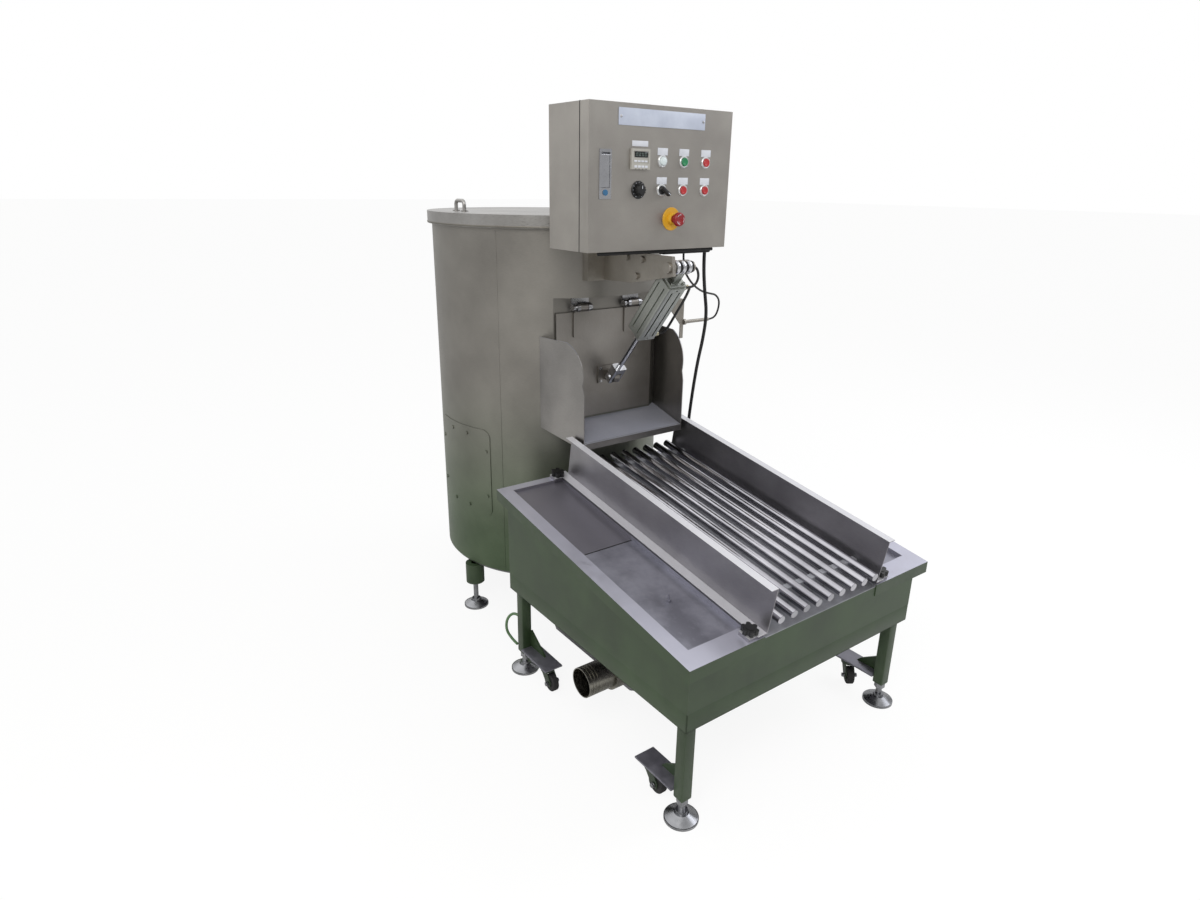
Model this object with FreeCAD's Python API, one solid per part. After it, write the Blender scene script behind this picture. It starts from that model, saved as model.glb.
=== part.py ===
import FreeCAD, Part
import math
import os

os.makedirs("parts", exist_ok=True)
V = FreeCAD.Vector

# Drum
DRUM_R = 362.0
DRUM_WALL = 3.0
DRUM_Z0 = 168.0
DRUM_TOP = 1240.0
LID_OVER = 13.0
LID_R = DRUM_R + LID_OVER
LID_SKIRT = 28.5
DOOR_W = 352.0
DOOR_MARGIN = 5.9
DOOR_Z0 = 682.0
DOOR_Z1 = 1001.0
DOOR_T = 3.5
SEAL_T = 3.2
SEAL_GAP = 0.3
FLAT_IN = DRUM_R - math.sqrt(DRUM_R ** 2 - (DOOR_W / 2 + DOOR_MARGIN) ** 2)
DOOR_IN = FLAT_IN - DOOR_T - SEAL_T - SEAL_GAP
HINGE_Z = 1015.0
HINGE_OUT = 10.0
PORT_HALF = 150.0
FLOOR_Z = 652.0

# Table
RIM_HALF = 423.0
RIM_LEN = 805.0
RIM_FRONT_Z = 419.0
SLOPE = 0.1565
SHEET = 2.0
APRON = 31.0
SIDE_FLANGE = 40.0
FRONT_FLANGE = 50.0
REAR_FLANGE = 23.0
RAIL_Z0 = 262.0
RAIL_Z1 = 309.0
RAIL_T = 3.0
BODY_RIGHT = RIM_HALF - 58.0
BODY_REAR_GAP = 58.0
LEG = 50.0
LEG_WALL = 3.0
LEG_Z = 59.0
CHANNEL_HALF = 200.0
STRIP_EDGE = 221.0
TRAY_DEEP = 14.0

# Guides, rods and star knobs
GUIDE_X = 196.0
GUIDE_T = 2.0
GUIDE_H = 122.0
GUIDE_LIFT = 7.0
GUIDE_LEN = RIM_LEN - 10.0
GUIDE_TOP_FLANGE = 22.0
GUIDE_FOOT_FLANGE = 30.0
KNOB_X = 234.0
KNOB_R = 20.0
ROD_COUNT = 9
ROD_PITCH = 42.0
ROD_R = 10.5
ROD_LIFT = 39.0

# Control box
BOX_X0 = -245.0
BOX_X1 = 219.0
BOX_Z0 = 1190.0
BOX_Z1 = 1535.0
BOX_FRONT_GAP = 210.0
BOX_DEEP = 174.0
BOX_DOOR = 38.0
BOX_T = 2.0

# Cylinder and arm
ROD_PIN_OUT = 43.0
ROD_PIN_Z = 806.0
PIVOT_OUT = 281.0
PIVOT_Z = 1151.0
PIVOT_R = 8.0
FIT = 0.05
GAP = 0.3
BARREL_HALF = 30.0
BARREL_START = 50.0
BARREL_END = 247.0
CAP_T = 13.0
BORE_R = 25.0
PISTON_ROD_R = 8.0
FORK_PIN_R = 5.0
EYE_HOLE_R = 11.5
EYE_R = 18.0

# Feet and castors
FOOT_R = 40.0
STEM_R = 8.0
CASTOR_TOP = 73.5
PLATE_T = 5.0
PLATE_W = 58.0
PLATE_LEN = 121.0
SWIVEL_IN = 33.0
WHEEL_R = 25.0
WHEEL_W = 18.0
TRAIL = 22.0
WHEEL_LIFT = 3.0

# Derived places: the frame's middle lies between the guides' front corner and the lid's back
SLOPE_A = math.atan(SLOPE)
FRONT_REACH = (GUIDE_LIFT + GUIDE_H) * math.sin(SLOPE_A)
DRUM_TO_RIM = DRUM_R + 31.0
SPAN = FRONT_REACH + RIM_LEN + DRUM_TO_RIM + LID_R
TABLE_Y0 = FRONT_REACH - SPAN / 2
TABLE_Y1 = TABLE_Y0 + RIM_LEN
DRUM_Y = TABLE_Y1 + DRUM_TO_RIM
DOOR_Y = DRUM_Y - DRUM_R + DOOR_IN
FLAT_Y = DOOR_Y + DOOR_T + SEAL_T + GAP
HINGE_Y = DOOR_Y - HINGE_OUT
PIN_Y = DOOR_Y - ROD_PIN_OUT
PIVOT_Y = DRUM_Y - DRUM_R - PIVOT_OUT
BOX_Y0 = DRUM_Y - DRUM_R - BOX_FRONT_GAP
BOX_Y1 = BOX_Y0 + BOX_DEEP
SEAM_Y = BOX_Y0 + BOX_DOOR
REAR_Y = TABLE_Y1 - BODY_REAR_GAP
LEFT_X = -RIM_HALF + SHEET
FRONT_Y = TABLE_Y0 + SHEET
FOOT_EDGE = LEFT_X + RAIL_T + LEG / 2 - FOOT_R
MID_X = -(FOOT_EDGE + RIM_HALF) / 2


def box(x0, x1, y0, y1, z0, z1):
    return Part.makeBox(x1 - x0, y1 - y0, z1 - z0, V(x0, y0, z0))


def cyl(r, h, at, axis=V(0, 0, 1)):
    return Part.makeCylinder(r, h, at, axis)


def ring(r1, r0, h, at, axis=V(0, 0, 1)):
    return cyl(r1, h, at, axis).cut(cyl(r0, h, at, axis))


def prism_x(points, x0, x1):
    wire = Part.makePolygon([V(x0, y, z) for y, z in points + points[:1]])
    return Part.Face(wire).extrude(V(x1 - x0, 0, 0))


def prism_z(points, z0, z1):
    wire = Part.makePolygon([V(x, y, z0) for x, y in points + points[:1]])
    return Part.Face(wire).extrude(V(0, 0, z1 - z0))


def prism_y(points, y0, y1):
    wire = Part.makePolygon([V(x, y0, z) for x, z in points + points[:1]])
    return Part.Face(wire).extrude(V(0, y1 - y0, 0))


def rim_z(y):
    return RIM_FRONT_Z + (y - TABLE_Y0) * SLOPE


def slab(x0, x1, y0, y1, lo, hi):
    pts = [(y0, rim_z(y0) + lo), (y1, rim_z(y1) + lo), (y1, rim_z(y1) + hi), (y0, rim_z(y0) + hi)]
    return prism_x(pts, x0, x1)


def post(x0, x1, y0, y1, z0, hi):
    pts = [(y0, z0), (y1, z0), (y1, rim_z(y1) + hi), (y0, rim_z(y0) + hi)]
    return prism_x(pts, x0, x1)


def tilt(s, n):
    c = math.cos(SLOPE_A)
    k = math.sin(SLOPE_A)
    return (TABLE_Y0 + s * c - n * k, RIM_FRONT_Z + s * k + n * c)


def tilted(x0, x1, s0, s1, n0, n1):
    return prism_x([tilt(s0, n0), tilt(s1, n0), tilt(s1, n1), tilt(s0, n1)], x0, x1)


def turn(shape, at, axis, deg):
    out = shape.copy()
    out.rotate(at, axis, deg)
    return out


def mirror_x(shape):
    return shape.mirror(V(0, 0, 0), V(1, 0, 0))


def group(shapes):
    return Part.makeCompound(shapes)


def round_z(shape, r):
    edges = [e for e in shape.Edges if abs(e.tangentAt(e.FirstParameter).z) > 0.99]
    return shape.makeFillet(r, edges)


def round_y(shape, r):
    edges = [e for e in shape.Edges if abs(e.tangentAt(e.FirstParameter).y) > 0.99]
    return shape.makeFillet(r, edges)


def save(name, shape):
    shape.translate(V(MID_X, 0, 0))
    shape.exportStep("parts/" + name + ".step")
    print(name, len(shape.Solids), round(shape.Volume / 1000.0, 1))


UP = V(0, 0, 1)
XX = V(1, 0, 0)
YY = V(0, 1, 0)
AXIS = V(0, DRUM_Y, 0)


def drum_at(r, z0, z1, flat):
    body = cyl(r, z1 - z0, V(0, DRUM_Y, z0))
    inset = DRUM_R - r
    low = DOOR_Z0 - 14.0 - inset
    high = HINGE_Z + 29.0 + inset
    return body.cut(box(-DRUM_R, DRUM_R, DRUM_Y - DRUM_R - 10, flat, low, high))


# Drum shell with the flat front and the discharge port
DRUM_OUT = drum_at(DRUM_R, DRUM_Z0, DRUM_TOP, FLAT_Y)
inner = drum_at(DRUM_R - DRUM_WALL, DRUM_Z0, DRUM_TOP, FLAT_Y + DRUM_WALL)
port = box(-PORT_HALF, PORT_HALF, FLAT_Y - 5, FLAT_Y + 10, DOOR_Z0 + 14, DOOR_Z1 - 35)
shell = DRUM_OUT.cut(inner).cut(port)
save("drum_shell", shell)

# Bottom pan with a rounded lower edge
pan = cyl(DRUM_R - DRUM_WALL, 24, V(0, DRUM_Y, DRUM_Z0 - 10))
low_edge = [e for e in pan.Edges if e.BoundBox.ZMax < DRUM_Z0 - 9.9 and e.BoundBox.XLength > DRUM_R]
pan = pan.makeFillet(9.0, low_edge)
pan = pan.cut(cyl(DRUM_R - DRUM_WALL - 3, 30, V(0, DRUM_Y, DRUM_Z0 - 7)))

# Chamber floor, lining and abrasive disc
ROOM_R = DRUM_R - DRUM_WALL
deck = cyl(ROOM_R, 6, V(0, DRUM_Y, FLOOR_Z - 34)).cut(cyl(46, 6, V(0, DRUM_Y, FLOOR_Z - 34)))
LINER_TOP = 1060.0
lining = ring(ROOM_R, ROOM_R - 6, LINER_TOP - FLOOR_Z + 28, V(0, DRUM_Y, FLOOR_Z - 28))
lining = lining.cut(box(-200, 200, DRUM_Y - DRUM_R, FLAT_Y + 33, FLOOR_Z - 28, LINER_TOP + 5))
save("abrasive_lining", lining)

disc_r = DRUM_Y - FLAT_Y - DRUM_WALL - 4
disc = cyl(disc_r, 14, V(0, DRUM_Y, FLOOR_Z - 14))
hump = []
for k in range(3):
    bar = cyl(12, disc_r - 70, V(45, DRUM_Y, FLOOR_Z - 4), XX)
    hump.append(turn(bar, AXIS, UP, 120 * k))
disc = disc.fuse(hump).removeSplitter()
SHAFT_R = 17.5
disc = disc.cut(cyl(SHAFT_R, 40, V(0, DRUM_Y, FLOOR_Z - 30)))

# Drive: shaft, bearing housing and the gear motor below it
SHAFT_Z0 = 400.0
shaft = cyl(SHAFT_R, FLOOR_Z - SHAFT_Z0, V(0, DRUM_Y, SHAFT_Z0))
cap = cyl(40, 12, V(0, DRUM_Y, FLOOR_Z)).cut(cyl(6, 12, V(0, DRUM_Y, FLOOR_Z)))
shaft = shaft.fuse(cap).removeSplitter()
save("abrasive_disc", group([disc, shaft]))
HOUSE_Z0 = 480.0
bearing = ring(60, SHAFT_R + FIT, FLOOR_Z - 36 - HOUSE_Z0, V(0, DRUM_Y, HOUSE_Z0))
flange = ring(110, SHAFT_R + FIT, 12, V(0, DRUM_Y, FLOOR_Z - 46))
bearing = bearing.fuse(flange).removeSplitter()
bearing = bearing.fuse(ring(45.9, SHAFT_R + FIT, 8, V(0, DRUM_Y, FLOOR_Z - 36))).removeSplitter()
save("bearing_housing", bearing)
SHELF_Z = 380.0
ROOM = cyl(ROOM_R, DRUM_TOP, AXIS)
ties = box(-ROOM_R, ROOM_R, DRUM_Y - 40, DRUM_Y + 40, HOUSE_Z0 + 60, HOUSE_Z0 + 68).common(ROOM)
ties = ties.cut(cyl(60, 20, V(0, DRUM_Y, HOUSE_Z0 + 50)))
shelf = box(-130, 130, DRUM_Y - ROOM_R, DRUM_Y + ROOM_R, SHELF_Z, SHELF_Z + 8).common(ROOM)
shelf = shelf.cut(cyl(62, 20, V(0, DRUM_Y, SHELF_Z - 5)))
motor = cyl(95, 14, V(0, DRUM_Y, SHELF_Z + 8)).fuse(cyl(61, 40, V(0, DRUM_Y, SHELF_Z - 20)))
motor = motor.fuse(cyl(40, 60, V(0, DRUM_Y, SHELF_Z + 22)))
motor = motor.fuse(cyl(72, 30, V(0, DRUM_Y, SHELF_Z - 50)))
motor = motor.fuse(cyl(80, 150, V(0, DRUM_Y, SHELF_Z - 200)))
motor = motor.fuse(box(-50, 50, DRUM_Y + 60, DRUM_Y + 112, SHELF_Z - 150, SHELF_Z - 70)).removeSplitter()
motor = motor.cut(cyl(SHAFT_R + FIT, 70, V(0, DRUM_Y, SHAFT_Z0 - 2)))
save("gear_motor", motor)
save("drum_decks", group([pan, deck, ties.Solids[0], ties.Solids[1], shelf]))

# Lid, handle and hinge
LID_TOP = DRUM_TOP + LID_SKIRT - 1.0
lid = ring(LID_R, LID_R - 2, LID_SKIRT + 6, V(0, DRUM_Y, DRUM_TOP - 7))
lid = lid.fuse(cyl(LID_R, 3, V(0, DRUM_Y, DRUM_TOP + LID_SKIRT - 3))).removeSplitter()
lid = lid.fuse(ring(LID_R - 2, DRUM_R - 8, LID_SKIRT - 3, V(0, DRUM_Y, DRUM_TOP + 0.4)).cut(
    ring(LID_R - 5, DRUM_R - 5, LID_SKIRT - 6, V(0, DRUM_Y, DRUM_TOP + 0.4)))).removeSplitter()
rail = ring(DRUM_R - 32, DRUM_R - 38, 8, V(0, DRUM_Y, DRUM_TOP + LID_SKIRT - 9))
lid = lid.fuse(rail).removeSplitter()
TOP = DRUM_TOP + LID_SKIRT
HANDLE_X = 76.0 - DRUM_R
HANDLE_Y = DRUM_Y + 37.0
grip_w = 27.0
grip_h = 30.0
wire_r = 5.5
corner = 12.0
c0 = V(HANDLE_X, HANDLE_Y - grip_w, TOP)
c1 = V(HANDLE_X, HANDLE_Y - grip_w, TOP + grip_h - corner)
c2 = V(HANDLE_X, HANDLE_Y - grip_w + corner, TOP + grip_h)
c3 = V(HANDLE_X, HANDLE_Y + grip_w - corner, TOP + grip_h)
c4 = V(HANDLE_X, HANDLE_Y + grip_w, TOP + grip_h - corner)
c5 = V(HANDLE_X, HANDLE_Y + grip_w, TOP)
k45 = corner * (1 - math.sqrt(0.5))
m12 = V(HANDLE_X, HANDLE_Y - grip_w + k45, TOP + grip_h - k45)
m34 = V(HANDLE_X, HANDLE_Y + grip_w - k45, TOP + grip_h - k45)
path = Part.Wire([Part.makeLine(c0, c1), Part.Arc(c1, m12, c2).toShape(), Part.makeLine(c2, c3),
                  Part.Arc(c3, m34, c4).toShape(), Part.makeLine(c4, c5)])
profile = Part.Wire([Part.makeCircle(wire_r, c0, UP)])
grip = path.makePipeShell([profile], True, True)
feet = [ring(11, wire_r, 3, c0), ring(11, wire_r, 3, c5)]
handle = grip.fuse(feet).removeSplitter()
HX = LID_R + 12.0
HZ = DRUM_TOP + 8.0
knuckle = ring(7, 3 + FIT, 60, V(HX, DRUM_Y - 30, HZ), YY)
leaf = box(LID_R - 6, HX, DRUM_Y - 30, DRUM_Y + 30, HZ - 3, HZ + 3).cut(cyl(LID_R, 40, V(0, DRUM_Y, HZ - 20)))
lid_leaf = knuckle.fuse(leaf).cut(cyl(3 + FIT, 60, V(HX, DRUM_Y - 30, HZ), YY)).removeSplitter()
save("lid", group([lid.fuse(lid_leaf).removeSplitter(), handle]))
pin = cyl(3, 100, V(HX, DRUM_Y - 50, HZ), YY)
stand = []
for side in (-1, 1):
    y0 = DRUM_Y + side * 36 - 5
    eye = cyl(7, 10, V(HX, y0, HZ), YY)
    strap = box(DRUM_R - 12, HX + 7, y0, y0 + 10, HZ - 60, HZ).cut(cyl(DRUM_R, 90, V(0, DRUM_Y, HZ - 80)))
    low_lid = cyl(LID_R + 1.5, 60, V(0, DRUM_Y, DRUM_TOP - 9))
    stand.append(eye.fuse(strap.cut(low_lid)))
save("lid_hinge_bracket", stand[0].fuse([stand[1], pin]).removeSplitter())

# Access cover with its screws
COVER_A0 = 165.0
COVER_A1 = 207.5
COVER_Z0 = 349.0
COVER_Z1 = 637.0
COVER_T = 2.0
cover_mid = math.radians((COVER_A0 + COVER_A1) / 2)
half = (DRUM_R + COVER_T) * math.sin(math.radians((COVER_A1 - COVER_A0) / 2))
blank = round_y(box(-half, half, DRUM_R - 90, DRUM_R + 30, COVER_Z0, COVER_Z1), 26.0)
blank.rotate(V(0, 0, 0), UP, math.degrees(cover_mid) - 90)
blank.translate(AXIS)
cover = ring(DRUM_R + COVER_T, DRUM_R, DRUM_TOP, AXIS).common(blank)
heads = []
for a in (COVER_A0 + 2.4, COVER_A0 + 15.0, COVER_A1 - 15.0, COVER_A1 - 2.4):
    for z in (COVER_Z0 + 24, COVER_Z1 - 24):
        inner_row = a in (COVER_A0 + 15.0, COVER_A1 - 15.0)
        zz = z
        if not inner_row:
            zz = z + (46 if z < 500 else -46)
        d = V(math.cos(math.radians(a)), math.sin(math.radians(a)), 0)
        at = V(0, DRUM_Y, zz) + d * (DRUM_R + COVER_T - 0.4)
        heads.append(cyl(5.5, 3.4, at, d).cut(cyl(DRUM_R + COVER_T, DRUM_TOP, AXIS)))
save("access_cover", group([cover] + heads))

# Legs and feet of the drum
LEG_TUBE_R = 30.0
LEG_RADIUS = DRUM_R - 10.0
drum_leg_at = []
for a in (191.9, -11.9, 60.0, 120.0):
    ra = math.radians(a)
    drum_leg_at.append(V(LEG_RADIUS * math.cos(ra), DRUM_Y + LEG_RADIUS * math.sin(ra), 0))
legs = []
for p in drum_leg_at:
    tube = ring(LEG_TUBE_R, LEG_TUBE_R - 3, DRUM_Z0 - 10 - 90, V(p.x, p.y, 90))
    plug = ring(LEG_TUBE_R - 3, STEM_R, 8, V(p.x, p.y, 90))
    lid_ring = ring(LEG_TUBE_R, 12, 4, V(p.x, p.y, DRUM_Z0 - 14))
    legs.append(tube.fuse([plug, lid_ring]).removeSplitter())
save("drum_legs", group(legs))


def foot(p, top):
    bell = cyl(FOOT_R, 6, V(p.x, p.y, 0))
    bell = bell.fuse(Part.makeCone(FOOT_R - 2, 17, 12, V(p.x, p.y, 6)))
    bell = bell.fuse(cyl(14, 8, V(p.x, p.y, 18)))
    bell = bell.fuse(cyl(STEM_R, top - 20, V(p.x, p.y, 20)))
    return bell.removeSplitter()


def nut(p, z0, r, h):
    pts = []
    for k in range(6):
        a = math.radians(60 * k)
        pts.append((p.x + r * math.cos(a), p.y + r * math.sin(a)))
    return prism_z(pts, z0, z0 + h).cut(cyl(STEM_R, h, V(p.x, p.y, z0)))



# Chute floor and its two guards
LIP_OUT = 109.0
LIP_Y = DRUM_Y - DRUM_R - LIP_OUT
LIP_Z = 650.0
LIP_HALF = DRUM_R / 2
LIP_DROP = 16.0
CHUTE_RISE = 24.0
GUARD_T = 2.5
SPLAY = math.atan(28.0 / 156.0)
GUARD_OUT = 32.0
DRUM_FALL = DRUM_R - math.sqrt(DRUM_R ** 2 - (LIP_HALF + GUARD_OUT) ** 2)
GUARD_LEN = (DRUM_FALL + LIP_OUT) / math.cos(SPLAY) + 1
back_y = LIP_Y + GUARD_LEN * math.cos(SPLAY)
back_half = LIP_HALF + GUARD_LEN * math.sin(SPLAY)
floor_pts = [(LIP_Y, LIP_Z), (back_y, LIP_Z + CHUTE_RISE), (back_y, LIP_Z + CHUTE_RISE + GUARD_T)]
floor_pts.append((LIP_Y, LIP_Z + GUARD_T))
sheet = prism_x(floor_pts, -back_half, back_half)
shape_in = [(-LIP_HALF, LIP_Y), (LIP_HALF, LIP_Y), (back_half, back_y), (-back_half, back_y)]
chute = sheet.common(prism_z(shape_in, LIP_Z - 50, LIP_Z + 110)).cut(DRUM_OUT)
lip = box(-LIP_HALF, LIP_HALF, LIP_Y, LIP_Y + GUARD_T, LIP_Z - LIP_DROP, LIP_Z + 1)
chute = chute.fuse(lip).removeSplitter()
GUARD_TOP = LIP_Z + 285.0


def guard_shape():
    u = [V(0, 0, LIP_Z - LIP_DROP), V(0, GUARD_LEN, LIP_Z + 14), V(0, GUARD_LEN, GUARD_TOP)]
    u += [V(0, 72, GUARD_TOP), V(0, 26, GUARD_TOP - 30), V(0, 8, GUARD_TOP - 115), V(0, 0, GUARD_TOP - 145)]
    edges = [Part.makeLine(u[0], u[1]), Part.makeLine(u[1], u[2]), Part.makeLine(u[2], u[3])]
    edges += [Part.Arc(u[3], u[4], u[5]).toShape(), Part.makeLine(u[5], u[6]), Part.makeLine(u[6], u[0])]
    plate = Part.Face(Part.Wire(edges)).extrude(V(GUARD_T, 0, 0))
    plate.rotate(V(0, 0, 0), UP, -math.degrees(SPLAY))
    plate.translate(V(LIP_HALF, LIP_Y, 0))
    return plate.cut(DRUM_OUT)


guard = guard_shape()
save("discharge_chute", group([chute, guard, mirror_x(guard)]))

# Discharge door with seal, hinge straps and tongue for the rod
door = box(-DOOR_W / 2, DOOR_W / 2, DOOR_Y, DOOR_Y + DOOR_T, DOOR_Z0, DOOR_Z1)
save("discharge_door", door)
seal = box(-DOOR_W / 2 + 6, DOOR_W / 2 - 6, DOOR_Y + DOOR_T, DOOR_Y + DOOR_T + SEAL_T, DOOR_Z0 + 2, DOOR_Z1 - 6)
seal = seal.cut(box(-PORT_HALF - 6, PORT_HALF + 6, DOOR_Y, DOOR_Y + 20, DOOR_Z0 + 10, DOOR_Z1 - 28))
save("door_seal", seal)
LUG_X = 92.0
PIN_R = 6.0
straps = []
lugs = []
pins = []
for side in (-1, 1):
    cx = side * LUG_X
    strap = box(cx - 27, cx + 27, DOOR_Y - 5, DOOR_Y, DOOR_Z1 - 72, DOOR_Z1)
    eye = ring(12, PIN_R + FIT, 26, V(cx - 13, HINGE_Y, HINGE_Z), XX)
    neck = box(cx - 13, cx + 13, DOOR_Y - 5, DOOR_Y, DOOR_Z1 - 10, HINGE_Z)
    neck = neck.fuse(box(cx - 13, cx + 13, HINGE_Y, DOOR_Y, HINGE_Z - 11, HINGE_Z - 2))
    neck = neck.cut(cyl(11, 30, V(cx - 15, HINGE_Y, HINGE_Z), XX))
    bolts = []
    for bx in (-17, 17):
        for bz in (-56, -20):
            bolts.append(nut(V(0, 0, 0), 0, 6, 5))
            bolts[-1].rotate(V(0, 0, 0), XX, 90)
            bolts[-1].translate(V(cx + bx, DOOR_Y - 5, DOOR_Z1 + bz))
    strap = strap.fuse([neck, eye]).removeSplitter()
    straps.append(strap)
    for side2 in (-1, 1):
        x0 = cx + side2 * 19 - 5
        lug = cyl(13, 10, V(x0, HINGE_Y, HINGE_Z), XX)
        lug = lug.fuse(box(x0, x0 + 10, HINGE_Y, FLAT_Y, HINGE_Z - 1, HINGE_Z + 13))
        lugs.append(lug.cut(cyl(PIN_R, 10, V(x0, HINGE_Y, HINGE_Z), XX)))
    back = box(cx - 30, cx + 30, FLAT_Y - 4, FLAT_Y, HINGE_Z - 1, HINGE_Z + 26)
    lugs.append(back)
    bolt = cyl(PIN_R, 60, V(cx - 30, HINGE_Y, HINGE_Z), XX)
    heads = cyl(10, 6, V(cx - 30 - 6, HINGE_Y, HINGE_Z), XX)
    heads2 = cyl(9, 6, V(cx + 24.3, HINGE_Y, HINGE_Z), XX)
    pins.append(bolt.fuse([heads, heads2]).removeSplitter())
lug_sets = [lugs[0].fuse([lugs[1], lugs[2]]).removeSplitter(), lugs[3].fuse([lugs[4], lugs[5]]).removeSplitter()]
save("door_lugs", group(lug_sets + pins))
base = box(-30, 30, DOOR_Y - 6, DOOR_Y, ROD_PIN_Z - 26, ROD_PIN_Z + 26)
tongue = box(-9.5, 9.5, PIN_Y, DOOR_Y - 6, ROD_PIN_Z - 15, ROD_PIN_Z + 15)
tongue = tongue.fuse(cyl(EYE_R, 19, V(-9.5, PIN_Y, ROD_PIN_Z), XX))
tongue = base.fuse(tongue).cut(cyl(EYE_HOLE_R, 19, V(-9.5, PIN_Y, ROD_PIN_Z), XX)).removeSplitter()
save("door_straps", group(straps + [tongue]))

# Arm, pivot shaft, cylinder and rod
ARM_X = -44.0
ARM_T = 10.0
ARM_TOP = PIVOT_Z + 27.0
ARM_LOW = PIVOT_Z - 58.0
arm_pts = [(DRUM_Y - DRUM_R + 12, ARM_TOP), (PIVOT_Y - 12, ARM_TOP + 2), (PIVOT_Y - 19, PIVOT_Z - 20)]
arm_pts += [(PIVOT_Y + 151, ARM_LOW + 5), (DRUM_Y - DRUM_R + 12, ARM_LOW)]
arm = prism_x(arm_pts, ARM_X, ARM_X + ARM_T)
foot_plate = box(ARM_X - 60, ARM_X, DRUM_Y - DRUM_R - 8, DRUM_Y - DRUM_R + 30, ARM_LOW, ARM_TOP)
arm = arm.fuse(foot_plate).cut(cyl(DRUM_R, DRUM_TOP, AXIS))
arm = arm.cut(cyl(PIVOT_R, ARM_T, V(ARM_X, PIVOT_Y, PIVOT_Z), XX)).removeSplitter()
nuts = []
for dy, z in ((-111, ARM_TOP - 13), (-176, ARM_TOP - 14), (-154, ARM_LOW + 26)):
    bolt = nut(V(0, 0, 0), 0, 9, 7).fuse(cyl(STEM_R, 7, V(0, 0, 0)))
    bolt.rotate(V(0, 0, 0), YY, -90)
    bolt.translate(V(ARM_X, DRUM_Y - DRUM_R + dy, z))
    nuts.append(bolt)
S = V(0, PIVOT_Y, PIVOT_Z)
P = V(0, PIN_Y, ROD_PIN_Z)
shaft_x0 = ARM_X - 8.0
pivot = cyl(PIVOT_R, 39 - shaft_x0, V(shaft_x0, PIVOT_Y, PIVOT_Z), XX)
pivot = pivot.fuse(cyl(14, 8, V(shaft_x0, PIVOT_Y, PIVOT_Z), XX))
pivot = pivot.fuse(ring(14, PIVOT_R, 4.7, V(ARM_X + ARM_T, PIVOT_Y, PIVOT_Z), XX))
pivot = pivot.fuse(ring(14, PIVOT_R, 6, V(31.3, PIVOT_Y, PIVOT_Z), XX)).removeSplitter()
save("cylinder_arm", group([arm, pivot] + nuts))

DIR = P.sub(S)
REACH = DIR.Length
DIR.normalize()
TILT = math.degrees(math.atan2(DIR.z, DIR.y)) - 90.0


def place(shape):
    out = shape.copy()
    out.rotate(V(0, 0, 0), XX, TILT)
    out.translate(S)
    return out


def along(x0, x1, a0, a1, w0, w1):
    return box(x0, x1, w0, w1, a0, a1)


# The cylinder is drawn with its length up the z axis from the pivot, then placed
body = along(-BARREL_HALF, BARREL_HALF, BARREL_START + CAP_T, BARREL_END - CAP_T, -BARREL_HALF, BARREL_HALF)
body = round_z(body, 5.0)
body = body.cut(cyl(BORE_R, 400, V(0, 0, 0)))
for k in range(4):
    for off in (-13, 13):
        slot = box(BARREL_HALF - 4, BARREL_HALF + 1, off - 2.5, off + 2.5, 0, 400)
        body = body.cut(turn(slot, V(0, 0, 0), UP, 90 * k))
save("cylinder_barrel", place(body))
rear = round_z(along(-BARREL_HALF, BARREL_HALF, BARREL_START, BARREL_START + CAP_T, -BARREL_HALF, BARREL_HALF), 5.0)
head = along(-BARREL_HALF, BARREL_HALF, BARREL_END - CAP_T, BARREL_END, -BARREL_HALF, BARREL_HALF)
head = round_z(head, 5.0).cut(cyl(PISTON_ROD_R + FIT, 400, V(0, 0, 0)))
head = head.cut(cyl(2.5, 8, V(0, BARREL_HALF - 8, BARREL_END - CAP_T / 2), YY))
rear = rear.cut(cyl(2.5, 8, V(0, BARREL_HALF - 8, BARREL_START + CAP_T / 2), YY))
hub = cyl(15, 60, V(-29, 0, 0), XX)
hub = hub.fuse(along(-12, 12, 8, BARREL_START - 8, -12, 12))
hub = hub.fuse(along(-26, 26, BARREL_START - 8, BARREL_START, -26, 26))
hub = hub.cut(cyl(PIVOT_R + FIT, 60, V(-29, 0, 0), XX)).removeSplitter()
screws = []
for sx in (-19, 19):
    for sy in (-19, 19):
        screws.append(place(cyl(4.5, 5, V(sx, sy, BARREL_START - 13)).cut(cyl(2, 3, V(sx, sy, BARREL_START - 13)))))
        screws.append(place(cyl(4.5, 4, V(sx, sy, BARREL_END)).cut(cyl(2, 2, V(sx, sy, BARREL_END + 2)))))
save("cylinder_caps", group([place(rear), place(head), place(hub)] + screws))
PISTON_AT = BARREL_END - CAP_T - 14.0
FORK_DEEP = 26.0
rod = cyl(PISTON_ROD_R, REACH - FORK_DEEP - 6 - PISTON_AT, V(0, 0, PISTON_AT))
rod = rod.fuse(cyl(BORE_R - FIT, 10, V(0, 0, PISTON_AT))).removeSplitter()
fork = round_z(along(-20, 20, REACH - FORK_DEEP - 18, REACH + 14, -14, 14), 4.0)
fork = fork.cut(along(-10, 10, REACH - FORK_DEEP, REACH + 20, -20, 20))
fork = fork.cut(cyl(PISTON_ROD_R, 12, V(0, 0, REACH - FORK_DEEP - 18)))
fork = fork.cut(cyl(FORK_PIN_R, 60, V(-30, 0, REACH), XX))
fork_pin = cyl(FORK_PIN_R, 46, V(-23, 0, REACH), XX)
fork_pin = fork_pin.fuse(cyl(8, 3, V(-23, 0, REACH), XX)).fuse(cyl(7, 3, V(20, 0, REACH), XX)).removeSplitter()
save("piston_rod", group([place(rod), place(fork), place(fork_pin)]))

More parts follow.
